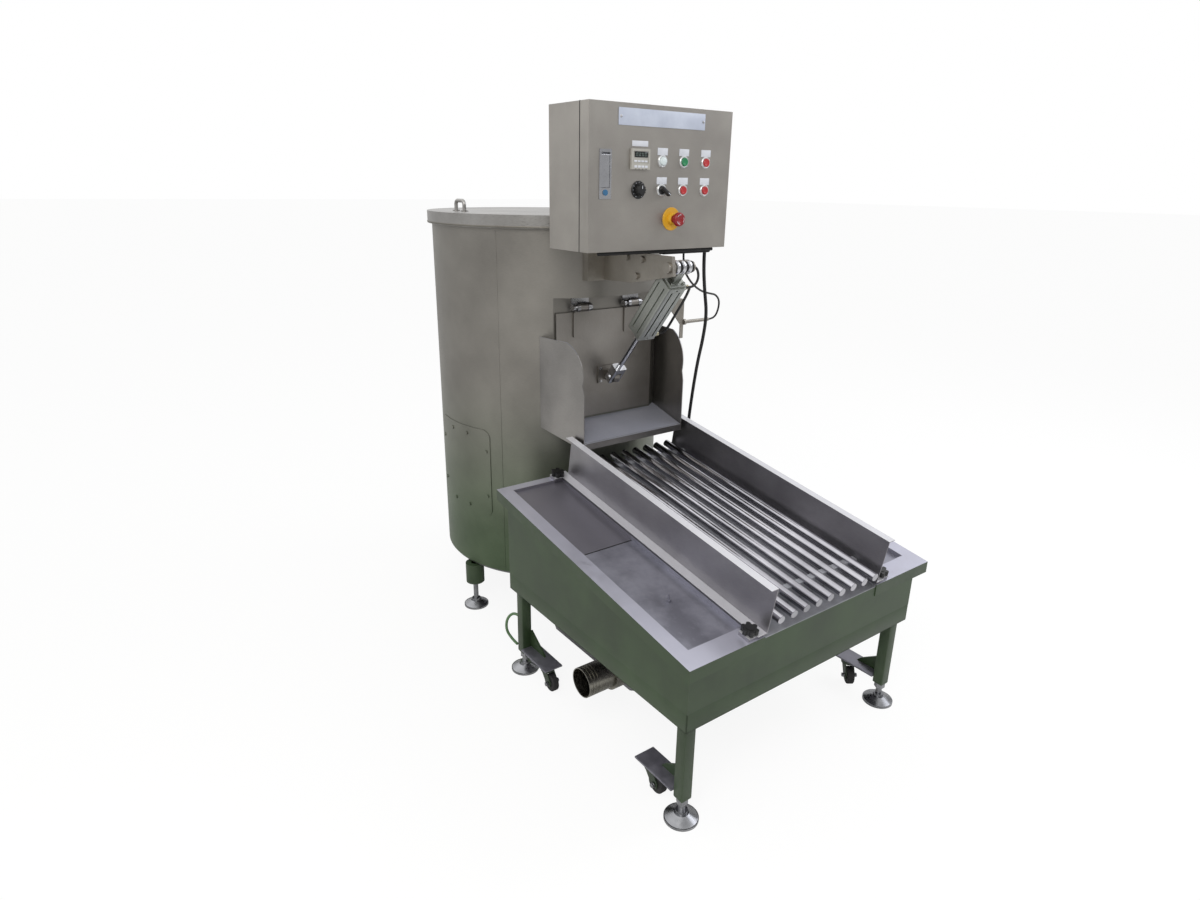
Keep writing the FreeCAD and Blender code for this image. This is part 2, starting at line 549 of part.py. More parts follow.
# Control box: body, door, mounting bracket, hinges and latch
box_out = box(BOX_X0, BOX_X1, SEAM_Y + 0.5, BOX_Y1, BOX_Z0, BOX_Z1)
box_in = box(BOX_X0 + BOX_T, BOX_X1 - BOX_T, SEAM_Y - 5, BOX_Y1 - BOX_T, BOX_Z0 + BOX_T, BOX_Z1 - BOX_T)
case = box_out.cut(box_in)
GLANDS = ((206.0, BOX_Y0 + 64.0), (150.0, BOX_Y0 + 90.0))
for gx, gy in GLANDS:
    case = case.cut(cyl(8, 10, V(gx, gy, BOX_Z0 - 4)))
d_out = box(BOX_X0, BOX_X1, BOX_Y0, SEAM_Y, BOX_Z0, BOX_Z1)
d_in = box(BOX_X0 + BOX_T, BOX_X1 - BOX_T, BOX_Y0 + BOX_T, SEAM_Y + 5, BOX_Z0 + BOX_T, BOX_Z1 - BOX_T)
leaf = d_out.cut(d_in)
COLS = (-93.0, -18.0, 54.0, 130.0)
ROW_HI = 1407.0
ROW_LO = 1338.0
TIMER_AT = (-91.0, 1410.0)
STOP_AT = (19.0, 1267.0)
LATCH_X = -196.5
LATCH_Z0 = 1316.0
LATCH_Z1 = 1430.0
HOLE_R = 11.0
holes = [(COLS[1], ROW_HI), (COLS[2], ROW_HI), (COLS[3], ROW_HI), (COLS[0], ROW_LO), (COLS[1], ROW_LO)]
holes += [(COLS[2], ROW_LO), (COLS[3], ROW_LO), STOP_AT]
for hx, hz in holes:
    leaf = leaf.cut(cyl(HOLE_R, 8, V(hx, BOX_Y0 - 2, hz), YY))
leaf = leaf.cut(box(TIMER_AT[0] - 22, TIMER_AT[0] + 22, BOX_Y0 - 2, BOX_Y0 + 4, TIMER_AT[1] - 22, TIMER_AT[1] + 22))
leaf = leaf.cut(box(LATCH_X - 16, LATCH_X + 16, BOX_Y0 - 2, BOX_Y0 + 4, LATCH_Z0 + 4, LATCH_Z1 - 4))
braces = []
for side in (-1, 1):
    bx = side * 110 - 20
    brace = box(bx, bx + 40, BOX_Y1, DRUM_Y - DRUM_R + 60, BOX_Z0 + 4, BOX_Z0 + 36)
    braces.append(brace.cut(cyl(DRUM_R, DRUM_TOP, AXIS)))
BH_X = BOX_X1 + 6.0
BH_Y = SEAM_Y + 0.25
fixed_leaves = []
door_leaves = []
for hz in (BOX_Z0 + 45, BOX_Z1 - 95):
    part_a = ring(5, 2.5, 24, V(BH_X, BH_Y, hz)).fuse(cyl(2.5, 50, V(BH_X, BH_Y, hz)))
    part_a = part_a.fuse(box(BOX_X1, BH_X - 1, BH_Y + 0.6, BH_Y + 26, hz, hz + 24))
    fixed_leaves.append(part_a.removeSplitter())
    part_b = ring(5, 2.5 + FIT, 24, V(BH_X, BH_Y, hz + 24.3))
    arm_b = box(BOX_X1, BH_X - 1, BH_Y - 26, BH_Y - 0.6, hz + 24.3, hz + 48.3)
    part_b = part_b.fuse(arm_b.cut(cyl(4, 60, V(BH_X, BH_Y, hz)))).removeSplitter()
    door_leaves.append(part_b)
save("box_body", group([case.fuse(fixed_leaves).removeSplitter()] + braces))
save("box_door", leaf.fuse(door_leaves).removeSplitter())
pocket = box(LATCH_X - 18, LATCH_X + 18, BOX_Y0 - 2, BOX_Y0, LATCH_Z0, LATCH_Z1)
pocket = pocket.fuse(box(LATCH_X - 16, LATCH_X + 16, BOX_Y0, BOX_Y0 + 16, LATCH_Z0 + 4, LATCH_Z1 - 4))
pocket = pocket.cut(box(LATCH_X - 13, LATCH_X + 13, BOX_Y0 - 3, BOX_Y0 + 13, LATCH_Z0 + 26, LATCH_Z1 - 7))
pocket = pocket.cut(cyl(7, 18, V(LATCH_X, BOX_Y0 - 4, LATCH_Z0 + 15), YY))
pocket = pocket.cut(cyl(3 + FIT, 60, V(LATCH_X - 30, BOX_Y0 + 5, LATCH_Z1 - 14), XX)).removeSplitter()
save("latch_case", pocket)
lever = box(LATCH_X - 12.5, LATCH_X + 12.5, BOX_Y0 - 1, BOX_Y0 + 4, LATCH_Z0 + 27, LATCH_Z1 - 14)
lever = lever.fuse(cyl(5, 25, V(LATCH_X - 12.5, BOX_Y0 + 5, LATCH_Z1 - 14), XX))
lever = lever.fuse(cyl(3, 31.6, V(LATCH_X - 15.8, BOX_Y0 + 5, LATCH_Z1 - 14), XX)).removeSplitter()
save("latch_lever", lever)
press = cyl(7 - FIT, 12, V(LATCH_X, BOX_Y0 - 4, LATCH_Z0 + 15), YY)
save("latch_button", press)

# Panel: timer, bezels, knob, selector, lamp, push buttons and emergency stop
timer = box(TIMER_AT[0] - 29, TIMER_AT[0] + 29, BOX_Y0 - 6, BOX_Y0, TIMER_AT[1] - 24, TIMER_AT[1] + 24)
timer = timer.fuse(box(TIMER_AT[0] - 22, TIMER_AT[0] + 22, BOX_Y0, SEAM_Y - 4, TIMER_AT[1] - 22, TIMER_AT[1] + 22))
timer = timer.cut(box(TIMER_AT[0] - 24, TIMER_AT[0] + 24, BOX_Y0 - 7, BOX_Y0 - 4.5, TIMER_AT[1] - 10, TIMER_AT[1] + 18))
save("timer", timer.removeSplitter())
bezels = []


def sleeve(x, z, deep):
    outer = ring(14.5, 10 + FIT, 4, V(x, BOX_Y0 - 4, z), YY)
    outer = outer.fuse(ring(HOLE_R, 10 + FIT, deep, V(x, BOX_Y0, z), YY))
    outer = outer.fuse(cyl(HOLE_R + 3, 6, V(x, BOX_Y0 + deep, z), YY))
    return outer.removeSplitter()


for hx, hz in holes[:3] + holes[4:7]:
    bezels.append(sleeve(hx, hz, 22))
bezels.append(ring(19.5, 6 + FIT, 3, V(COLS[0], BOX_Y0 - 3, ROW_LO), YY).fuse(
    ring(HOLE_R, 6 + FIT, 22, V(COLS[0], BOX_Y0, ROW_LO), YY)).removeSplitter())
stop_disc = ring(29, 10 + FIT, 3, V(STOP_AT[0], BOX_Y0 - 3, STOP_AT[1]), YY)
stop_sleeve = ring(HOLE_R, 10 + FIT, 24, V(STOP_AT[0], BOX_Y0, STOP_AT[1]), YY)
stop_sleeve = stop_sleeve.fuse(cyl(HOLE_R + 3, 6, V(STOP_AT[0], BOX_Y0 + 24, STOP_AT[1]), YY)).removeSplitter()
bezels.append(stop_sleeve)
save("stop_disc", stop_disc)


def cap_button(x, z, proud, deep):
    stem = cyl(10, proud + deep, V(x, BOX_Y0 - proud, z), YY)
    edge = [e for e in stem.Edges if e.BoundBox.YMax < BOX_Y0 - proud + 0.1 and e.BoundBox.XLength > 15]
    return stem.makeFillet(1.2, edge)


save("pilot_lamp", cap_button(COLS[1], ROW_HI, 9, 22))
save("green_button", cap_button(COLS[2], ROW_HI, 7, 10))
save("red_button_a", cap_button(COLS[3], ROW_HI, 7, 10))
save("red_button_b", cap_button(COLS[2], ROW_LO, 7, 10))
save("red_button_c", cap_button(COLS[3], ROW_LO, 7, 10))
dial = cyl(19, 14, V(COLS[0], BOX_Y0 - 3 - GAP - 14, ROW_LO), YY)
for k in range(12):
    notch = cyl(1.6, 14, V(COLS[0] + 19.6, BOX_Y0 - 3 - GAP - 14, ROW_LO), YY)
    dial = dial.cut(turn(notch, V(COLS[0], 0, ROW_LO), YY, 30 * k))
dial = dial.cut(box(COLS[0] - 0.8, COLS[0] + 0.8, BOX_Y0 - 18, BOX_Y0 - 16.5, ROW_LO + 4, ROW_LO + 18))
dial = dial.fuse(cyl(6, 26, V(COLS[0], BOX_Y0 - 10, ROW_LO), YY)).removeSplitter()
save("timer_knob", dial)
sel = cyl(10, 14, V(COLS[1], BOX_Y0 - 6, ROW_LO), YY)
lever2 = round_y(box(COLS[1] - 5, COLS[1] + 5, BOX_Y0 - 20, BOX_Y0 - 6, ROW_LO - 12, ROW_LO + 14), 3.0)
sel = turn(sel.fuse(lever2).removeSplitter(), V(COLS[1], 0, ROW_LO), YY, -35)
save("selector_switch", sel)
mush = cyl(10, 30, V(STOP_AT[0], BOX_Y0 - 12, STOP_AT[1]), YY)
mush_head = cyl(19, 11, V(STOP_AT[0], BOX_Y0 - 23, STOP_AT[1]), YY)
rim_edge = [e for e in mush_head.Edges if e.BoundBox.YMax < BOX_Y0 - 22.9 and e.BoundBox.XLength > 30]
mush_head = mush_head.makeFillet(4.0, rim_edge)
save("emergency_stop", mush.fuse(mush_head).removeSplitter())
plates = []
for hx, hz in holes[:3] + holes[3:7]:
    if (hx, hz) != (COLS[0], ROW_LO):
        plates.append(box(hx - 14, hx + 14, BOX_Y0 - 1, BOX_Y0, hz + 16, hz + 27))
plates.append(box(TIMER_AT[0] - 26, TIMER_AT[0] + 26, BOX_Y0 - 1, BOX_Y0, TIMER_AT[1] + 32, TIMER_AT[1] + 42))
plates.append(box(-159, 121, BOX_Y0 - 1.5, BOX_Y0, 1485, 1524))
save("panel_trim", group(bezels + plates))

# Inside the box: mounting plate with contactors and terminals
inside = box(BOX_X0 + 30, BOX_X1 - 30, BOX_Y1 - BOX_T - 12, BOX_Y1 - BOX_T - 10, BOX_Z0 + 30, BOX_Z1 - 30)
for sx in (BOX_X0 + 45, BOX_X1 - 45):
    for sz in (BOX_Z0 + 45, BOX_Z1 - 45):
        inside = inside.fuse(cyl(5, 10, V(sx, BOX_Y1 - BOX_T - 10, sz), YY))
gear = [inside.removeSplitter()]
plate_y = BOX_Y1 - BOX_T - 12
for k in range(3):
    x0 = BOX_X0 + 60 + 62 * k
    unit = box(x0, x0 + 50, plate_y - 60, plate_y, BOX_Z0 + 190, BOX_Z1 - 70)
    gear.append(unit.cut(box(x0 + 6, x0 + 44, plate_y - 61, plate_y - 50, BOX_Z0 + 206, BOX_Z0 + 220)))
for k in range(10):
    x0 = BOX_X0 + 60 + 14 * k
    gear.append(box(x0, x0 + 12, plate_y - 34, plate_y, BOX_Z0 + 50, BOX_Z0 + 100))
save("switchgear", group(gear))

# Sensor bracket, sensor rod and glands
sens_y = DRUM_Y - DRUM_R - 5
SENS_X0 = DOOR_W / 2 + 8.0
SENS_X1 = SENS_X0 + 80.0
SENS_TOP = HINGE_Z + 3.0
SENS_Z = DOOR_Z1 - 55.0
SENS_END = SENS_X1 + 106.0
tri_pts = [(SENS_X0, SENS_TOP), (SENS_X1, SENS_TOP), (SENS_X1, SENS_Z - 50), (SENS_X1 - 13, SENS_Z - 50)]
tri = prism_y(tri_pts + [(SENS_X1 - 13, SENS_Z - 6)], sens_y - 3, sens_y)
shelf2 = box(SENS_X0, SENS_X1, sens_y, DRUM_Y, SENS_TOP - 3, SENS_TOP)
bracket = tri.fuse(shelf2).cut(cyl(DRUM_R, DRUM_TOP, AXIS)).cut(DRUM_OUT).removeSplitter()
sens_at = V(SENS_X1, sens_y - 1.5, SENS_Z)
sens = cyl(5.5, SENS_END - SENS_X1, sens_at, XX).fuse(cyl(9, 8, sens_at, XX)).removeSplitter()
save("door_sensor", group([bracket, sens]))
DECK_AT = V(RIM_HALF - 147, TABLE_Y1 - REAR_FLANGE / 2, 0)
glands = []
for gx, gy in GLANDS:
    g = ring(12, 5, 14, V(gx, gy, BOX_Z0 - 14)).fuse(ring(8, 5, 14, V(gx, gy, BOX_Z0)))
    glands.append(g.removeSplitter())
deck_z = rim_z(DECK_AT.y)
g = ring(11, 5, 22, V(DECK_AT.x, DECK_AT.y, deck_z - 2)).cut(
    slab(0, RIM_HALF, TABLE_Y1 - 60, TABLE_Y1, -30, 0))
glands.append(g)
save("cable_glands", group(glands))

# Cables: straight runs joined by tangent arcs


def cord(name, pts, radius):
    edges = []
    radii = []
    start = pts[0]
    for k in range(1, len(pts) - 1):
        a = pts[k].sub(pts[k - 1])
        b = pts[k + 1].sub(pts[k])
        shorter = min(a.Length, b.Length)
        ua = V(a).normalize()
        ub = V(b).normalize()
        half_turn = math.acos(max(-1, min(1, ua.dot(ub)))) / 2
        cut = 0.45 * shorter
        r = cut / math.tan(half_turn)
        radii.append(round(r, 1))
        t0 = pts[k].sub(ua * cut)
        t1 = pts[k].add(ub * cut)
        way = ub.sub(ua)
        way.normalize()
        mid = pts[k].add(way * (r / math.cos(half_turn) - r))
        edges.append(Part.LineSegment(start, t0).toShape())
        edges.append(Part.Arc(t0, mid, t1).toShape())
        start = t1
    edges.append(Part.LineSegment(start, pts[-1]).toShape())
    wire = Part.Wire(edges)
    first = pts[1].sub(pts[0])
    ring_wire = Part.Wire([Part.makeCircle(radius, pts[0], first)])
    tube = wire.makePipeShell([ring_wire], True, False)
    ideal = math.pi * radius * radius * wire.Length
    print(name, "length", round(wire.Length, 1), "ratio", round(tube.Volume / ideal, 4), "radii", radii)
    save(name, tube)


GLAND_LOW = BOX_Z0 - 14
SENS_OUT = sens_at + V(SENS_END - SENS_X1, 0, 0)
g0 = V(GLANDS[0][0], GLANDS[0][1], GLAND_LOW)
control_pts = [g0, g0 + V(0, 0, -44), g0 + V(17, 8, -114), g0 + V(43, 20.5, -186), g0 + V(50, 36.5, -261)]
control_pts += [g0 + V(46, 50.5, -336), g0 + V(48, 64.5, -411)]
control_pts += [V(DECK_AT.x - 11, DECK_AT.y - 19, deck_z + 154), V(DECK_AT.x, DECK_AT.y, deck_z + 83)]
control_pts.append(V(DECK_AT.x, DECK_AT.y, deck_z + 20))
cord("control_cable", control_pts, 5.0)
g1 = V(GLANDS[1][0], GLANDS[1][1], GLAND_LOW)
sensor_pts = [g1, g1 + V(0, 0, -48), g1 + V(46, 14, -94), g1 + V(112, 38.5, -126), g1 + V(175, 64.5, -140)]
sensor_pts += [SENS_OUT + V(2, -27, 81), SENS_OUT + V(36, -11, 58), SENS_OUT + V(41, -2, 24), SENS_OUT + V(26, 0, 0)]
sensor_pts.append(SENS_OUT)
cord("sensor_cable", sensor_pts, 3.0)

# Table frame: rim, panels, rails and legs
rim = slab(-RIM_HALF, RIM_HALF, TABLE_Y0, TABLE_Y1, -APRON, 0)
rim = rim.cut(slab(-RIM_HALF + SHEET, RIM_HALF - SHEET, TABLE_Y0 + SHEET, TABLE_Y1 - SHEET, -APRON - 5, -SHEET))
tray_y0 = TABLE_Y0 + FRONT_FLANGE
tray_y1 = TABLE_Y1 - REAR_FLANGE
tray_x1 = RIM_HALF - SIDE_FLANGE
rim = rim.cut(slab(-tray_x1, -STRIP_EDGE, tray_y0, tray_y1, -5, 5))
rim = rim.cut(slab(STRIP_EDGE, tray_x1, tray_y0, tray_y1, -5, 5))
rim = rim.cut(slab(-CHANNEL_HALF, CHANNEL_HALF, TABLE_Y0 - 5, tray_y1, -5, 5))
rim = rim.cut(slab(-CHANNEL_HALF, CHANNEL_HALF, TABLE_Y0 - 5, TABLE_Y0 + SHEET, -APRON - 5, 5))
rim = rim.cut(cyl(5, 60, V(DECK_AT.x, DECK_AT.y, deck_z - 30)))
save("table_rim", rim)


def tray(x0, x1, seam_y):
    t = 1.5
    pan = slab(x0, x1, tray_y0, tray_y1, -TRAY_DEEP, 0)
    pan = pan.cut(slab(x0 + t, x1 - t, tray_y0 + t, tray_y1 - t, -TRAY_DEEP + t, 5))
    step = prism_x([(seam_y, rim_z(seam_y) - TRAY_DEEP + t), (tray_y1 - t, rim_z(tray_y1 - t) - TRAY_DEEP + t),
                    (tray_y1 - t, rim_z(tray_y1 - t) - TRAY_DEEP + t + 5)], x0 + t, x1 - t)
    return pan.fuse(step).removeSplitter()


drain_hole = V(123 - RIM_HALF, TABLE_Y0 + 210, 0)
left = tray(-tray_x1, -STRIP_EDGE, TABLE_Y0 + 450)
left = left.cut(cyl(6, 60, V(drain_hole.x, drain_hole.y, rim_z(drain_hole.y) - 30)))
right = tray(STRIP_EDGE, tray_x1, TABLE_Y0 + 450)
plug_z = rim_z(drain_hole.y) - TRAY_DEEP
plug = cyl(6, 14, V(drain_hole.x, drain_hole.y, plug_z - 8)).fuse(cyl(2, 14, V(drain_hole.x, drain_hole.y, plug_z + 6)))
save("trays", group([left, right, plug.removeSplitter()]))
trough = slab(-CHANNEL_HALF, CHANNEL_HALF, FRONT_Y, tray_y1, -6, 0)
trough = trough.cut(slab(-CHANNEL_HALF + 1.5, CHANNEL_HALF - 1.5, FRONT_Y - 5, tray_y1 - 1.5, -4, 5))
trough = trough.cut(slab(-120, 120, TABLE_Y0 + 70, TABLE_Y0 + 110, -10, 5))
front = post(LEFT_X, BODY_RIGHT, FRONT_Y, FRONT_Y + SHEET, RAIL_Z1, -SHEET)
front = front.cut(slab(-CHANNEL_HALF, CHANNEL_HALF, TABLE_Y0, TABLE_Y0 + 20, -6, 5))
skirt_l = post(LEFT_X, LEFT_X + SHEET, FRONT_Y + SHEET, REAR_Y - SHEET, RAIL_Z1, -SHEET)
skirt_r = post(BODY_RIGHT - SHEET, BODY_RIGHT, FRONT_Y + SHEET, REAR_Y - SHEET, RAIL_Z1, -TRAY_DEEP)
skirt_b = post(LEFT_X, BODY_RIGHT, REAR_Y - SHEET, REAR_Y, RAIL_Z1, -TRAY_DEEP)
save("skirt_panels", group([front, skirt_l, skirt_r, skirt_b]))
rail_out = box(LEFT_X, BODY_RIGHT, FRONT_Y, REAR_Y, RAIL_Z0, RAIL_Z1)
rail_in = box(LEFT_X + RAIL_T, BODY_RIGHT - RAIL_T, FRONT_Y + RAIL_T, REAR_Y - RAIL_T, RAIL_Z0, RAIL_Z1)
shelf_in = box(LEFT_X + 20, BODY_RIGHT - 20, FRONT_Y + 20, REAR_Y - 20, RAIL_Z0 - 1, RAIL_Z1 + 1)
rail_low = box(LEFT_X, BODY_RIGHT, FRONT_Y, REAR_Y, RAIL_Z0, RAIL_Z0 + RAIL_T)
rails = rail_out.cut(rail_in.cut(rail_low)).cut(shelf_in)
leg_at = []
for lx in (LEFT_X + RAIL_T, BODY_RIGHT - RAIL_T - LEG):
    for ly in (FRONT_Y + RAIL_T, REAR_Y - RAIL_T - LEG):
        leg_at.append((lx, ly))
        rails = rails.cut(box(lx, lx + LEG, ly, ly + LEG, RAIL_Z0 - 1, RAIL_Z1))
legs = []
feet = []
nuts = []
castor_plates = []
swivels = []
for lx, ly in leg_at:
    leg = post(lx, lx + LEG, ly, ly + LEG, LEG_Z, -34.0)
    leg = leg.cut(post(lx + LEG_WALL, lx + LEG - LEG_WALL, ly + LEG_WALL, ly + LEG - LEG_WALL, LEG_Z + 6, -20.0))
    p = V(lx + LEG / 2, ly + LEG / 2, 0)
    leg = leg.cut(cyl(STEM_R, 10, V(p.x, p.y, LEG_Z - 1)))
    legs.append(leg)
    feet.append(foot(p, 100))
    nuts.append(nut(p, LEG_Z - 14, 14, 13.9))
    front_leg = ly < -400
    sgn = 1 if front_leg else -1
    y_face = ly + LEG if front_leg else ly
    cx = lx + LEG / 2 + (7 if lx < 0 else 9)
    y_end = y_face + sgn * PLATE_LEN
    plate = box(cx - PLATE_W / 2, cx + PLATE_W / 2, min(y_face, y_end), max(y_face, y_end), CASTOR_TOP, CASTOR_TOP + PLATE_T)
    gx = lx + 6 if lx < 0 else lx + LEG - 12
    gus = prism_x([(y_face, CASTOR_TOP + PLATE_T), (y_face + sgn * 62, CASTOR_TOP + PLATE_T),
                   (y_face, CASTOR_TOP + PLATE_T + 48)], gx, gx + 6)
    slot = box(gx - 1, gx + 7, min(y_face + sgn * 12, y_face + sgn * 26), max(y_face + sgn * 12, y_face + sgn * 26),
               CASTOR_TOP + PLATE_T + 12, CASTOR_TOP + PLATE_T + 19)
    sw = V(cx, y_end - sgn * SWIVEL_IN, 0)
    king = cyl(6, 18, V(sw.x, sw.y, CASTOR_TOP - 18)).fuse(cyl(9, 3, V(sw.x, sw.y, CASTOR_TOP - 20)))
    castor_plates.append(plate.fuse([gus.cut(slot), king]).removeSplitter())
    swivels.append((sw, sgn))
MITRE = LEG + 10.0
fl, fr, rl, rr = (LEFT_X, FRONT_Y), (BODY_RIGHT, FRONT_Y), (LEFT_X, REAR_Y), (BODY_RIGHT, REAR_Y)
ifl, ifr = (LEFT_X + MITRE, FRONT_Y + MITRE), (BODY_RIGHT - MITRE, FRONT_Y + MITRE)
irl, irr = (LEFT_X + MITRE, REAR_Y - MITRE), (BODY_RIGHT - MITRE, REAR_Y - MITRE)
angles = []
for corners in ([fl, fr, ifr, ifl], [rl, irl, irr, rr], [fl, ifl, irl, rl], [fr, rr, irr, ifr]):
    angles += rails.common(prism_z(corners, RAIL_Z0 - 1, RAIL_Z1 + 1)).Solids
save("table_frame", group(angles + legs + castor_plates))
feet += [foot(p, 130) for p in drum_leg_at]
save("levelling_feet", group(feet + nuts))

# Castors: the fork turns under its plate, the wheel trails behind it
for name, (sw, sgn), out in zip(("rear_left", "front_left", "front_right", "rear_right"),
                                (swivels[1], swivels[0], swivels[2], swivels[3]), (-90, -90, -126, 90)):
    zc = WHEEL_R + WHEEL_LIFT
    zt = CASTOR_TOP - GAP
    crown = ring(19, 6 + FIT, zt - 57.0, V(sw.x, sw.y, 57.0))
    cheeks = []
    for side in (-1, 1):
        y0 = side * (WHEEL_W / 2 + 1) if side > 0 else -(WHEEL_W / 2 + 1) - 3
        pts = [(-12, 62), (12, 62), (TRAIL + 11, zc + 6), (TRAIL + 9, zc - 8), (TRAIL - 7, zc - 9), (-10, 50)]
        ch = prism_y(pts, y0, y0 + 3)
        ch.translate(V(sw.x, sw.y, 0))
        cheeks.append(ch)
    top_plate = round_z(box(-14, 16, -(WHEEL_W / 2 + 4), WHEEL_W / 2 + 4, 57.0, 62.0), 3.0)
    top_plate.translate(V(sw.x, sw.y, 0))
    axle = cyl(4, WHEEL_W + 12, V(sw.x + TRAIL, sw.y - WHEEL_W / 2 - 6, zc), YY)
    fork = crown.fuse([top_plate] + cheeks).cut(cyl(6 + FIT, 30, V(sw.x, sw.y, 50)))
    fork = fork.cut(cyl(9.5, 10, V(sw.x, sw.y, 47.0))).fuse(axle).removeSplitter()
    save("castor_fork_" + name, turn(fork, sw, UP, out))
    wheel = cyl(WHEEL_R, WHEEL_W, V(sw.x + TRAIL, sw.y - WHEEL_W / 2, zc), YY)
    rims = [e for e in wheel.Edges if e.BoundBox.XLength > 2 * WHEEL_R - 1 and e.BoundBox.YLength < 0.1]
    wheel = wheel.makeFillet(3.0, rims)
    wheel = wheel.cut(cyl(4 + FIT, WHEEL_W, V(sw.x + TRAIL, sw.y - WHEEL_W / 2, zc), YY))
    save("castor_wheel_" + name, turn(wheel, sw, UP, out))
    print(name, [round(v, 2) for v in (sw.x, sw.y)], "out", out)

# Hopper and drain pipe
HOP_Z1 = 300.0
HOP_Z0 = 118.0
top_rect = (LEFT_X + 75, BODY_RIGHT - 71, FRONT_Y + 33, REAR_Y - 24)
low_rect = (LEFT_X + 115, LEFT_X + 275, TABLE_Y0 + 335, REAR_Y - 62)


def rect_wire(r, z, inset):
    x0, x1, y0, y1 = r
    c = [V(x0 + inset, y0 + inset, z), V(x1 - inset, y0 + inset, z), V(x1 - inset, y1 - inset, z)]
    c += [V(x0 + inset, y1 - inset, z)]
    return Part.makePolygon(c + c[:1])


hop_out = Part.makeLoft([rect_wire(low_rect, HOP_Z0, 0), rect_wire(top_rect, HOP_Z1, 0)], True, True)
hop_in = Part.makeLoft([rect_wire(low_rect, HOP_Z0 + 2, 2), rect_wire(top_rect, HOP_Z1, 2)], True, True)
hop_flange = box(LEFT_X + RAIL_T, BODY_RIGHT - RAIL_T, FRONT_Y + RAIL_T, REAR_Y - RAIL_T, HOP_Z1 - 2, HOP_Z1)
for lx, ly in leg_at:
    hop_flange = hop_flange.cut(box(lx, lx + LEG, ly, ly + LEG, 200, 400))
PIPE_Y = TABLE_Y0 + 385.0
PIPE_Z = 160.0
PIPE_R = 39.0
PIPE_T = 2.5
PIPE_X0 = -RIM_HALF
PIPE_LEN = 150.0
SLEEVE_LEN = 74.0
COLLAR_AT = SLEEVE_LEN + 4.0
NECK_R = PIPE_R - 0.5
pipe_out = cyl(PIPE_R, SLEEVE_LEN, V(PIPE_X0, PIPE_Y, PIPE_Z), XX)
pipe_out = pipe_out.fuse(cyl(NECK_R, PIPE_LEN, V(PIPE_X0, PIPE_Y, PIPE_Z), XX)).removeSplitter()
pipe_in = cyl(PIPE_R - PIPE_T, PIPE_LEN, V(PIPE_X0, PIPE_Y, PIPE_Z), XX)
hopper = hop_flange.fuse(hop_out).cut(hop_in).cut(pipe_in).removeSplitter()
save("drain_hopper", hopper)
pipe = pipe_out.cut(pipe_in).cut(hop_out)
for k in range(3):
    pipe = pipe.cut(ring(PIPE_R + 1, PIPE_R - 0.8, 2.5, V(PIPE_X0 + 8 + 9 * k, PIPE_Y, PIPE_Z), XX))
pipe = [s for s in pipe.Solids if s.BoundBox.XMin < PIPE_X0 + 1][0]
collar = ring(PIPE_R + 7, NECK_R, 34, V(PIPE_X0 + COLLAR_AT, PIPE_Y, PIPE_Z), XX).cut(hop_out)
save("drain_pipe", group([pipe, collar]))

# Rod grid with its racks
rods = []
for k in range(ROD_COUNT):
    x = (k - (ROD_COUNT - 1) / 2) * ROD_PITCH
    y, z = tilt(-8, ROD_LIFT)
    d = V(0, math.cos(SLOPE_A), math.sin(SLOPE_A))
    rod = cyl(ROD_R, RIM_LEN - 5, V(x, y, z), d)
    ends = [e for e in rod.Edges if e.Curve.TypeId == "Part::GeomCircle"]
    rods.append(rod.makeChamfer(1.0, ends))
save("rods", group(rods))
racks = []
for s in (66.0, RIM_LEN - 81.0):
    bar = tilted(-GUIDE_X + 2, GUIDE_X - 2, s, s + 16, -3.0, ROD_LIFT)
    bar = bar.cut(slab(-300, 300, TABLE_Y0 - 20, TABLE_Y1, -60, -4))
    for rod in rods:
        bar = bar.cut(rod)
    racks.append(bar)
save("rod_channel", group([trough] + racks))

# Guides and star knobs


def guide_shape():
    web = tilted(GUIDE_X, GUIDE_X + GUIDE_T, 0, GUIDE_LEN, GUIDE_LIFT, GUIDE_LIFT + GUIDE_H)
    top = tilted(GUIDE_X, GUIDE_X + GUIDE_TOP_FLANGE, 0, GUIDE_LEN, GUIDE_LIFT + GUIDE_H - GUIDE_T, GUIDE_LIFT + GUIDE_H)
    low = tilted(GUIDE_X, GUIDE_X + GUIDE_FOOT_FLANGE, 0, GUIDE_LEN, GUIDE_LIFT, GUIDE_LIFT + GUIDE_T)
    out = [top, low]
    for s in KNOB_S:
        out.append(tilted(GUIDE_X, KNOB_X + 16, s - 16, s + 16, GUIDE_LIFT, GUIDE_LIFT + GUIDE_T))
    body = web.fuse(out)
    for s in KNOB_S:
        y, z = tilt(s, 0)
        body = body.cut(cyl(4, 30, V(KNOB_X, y, z), N_DIR))
    return body.removeSplitter()


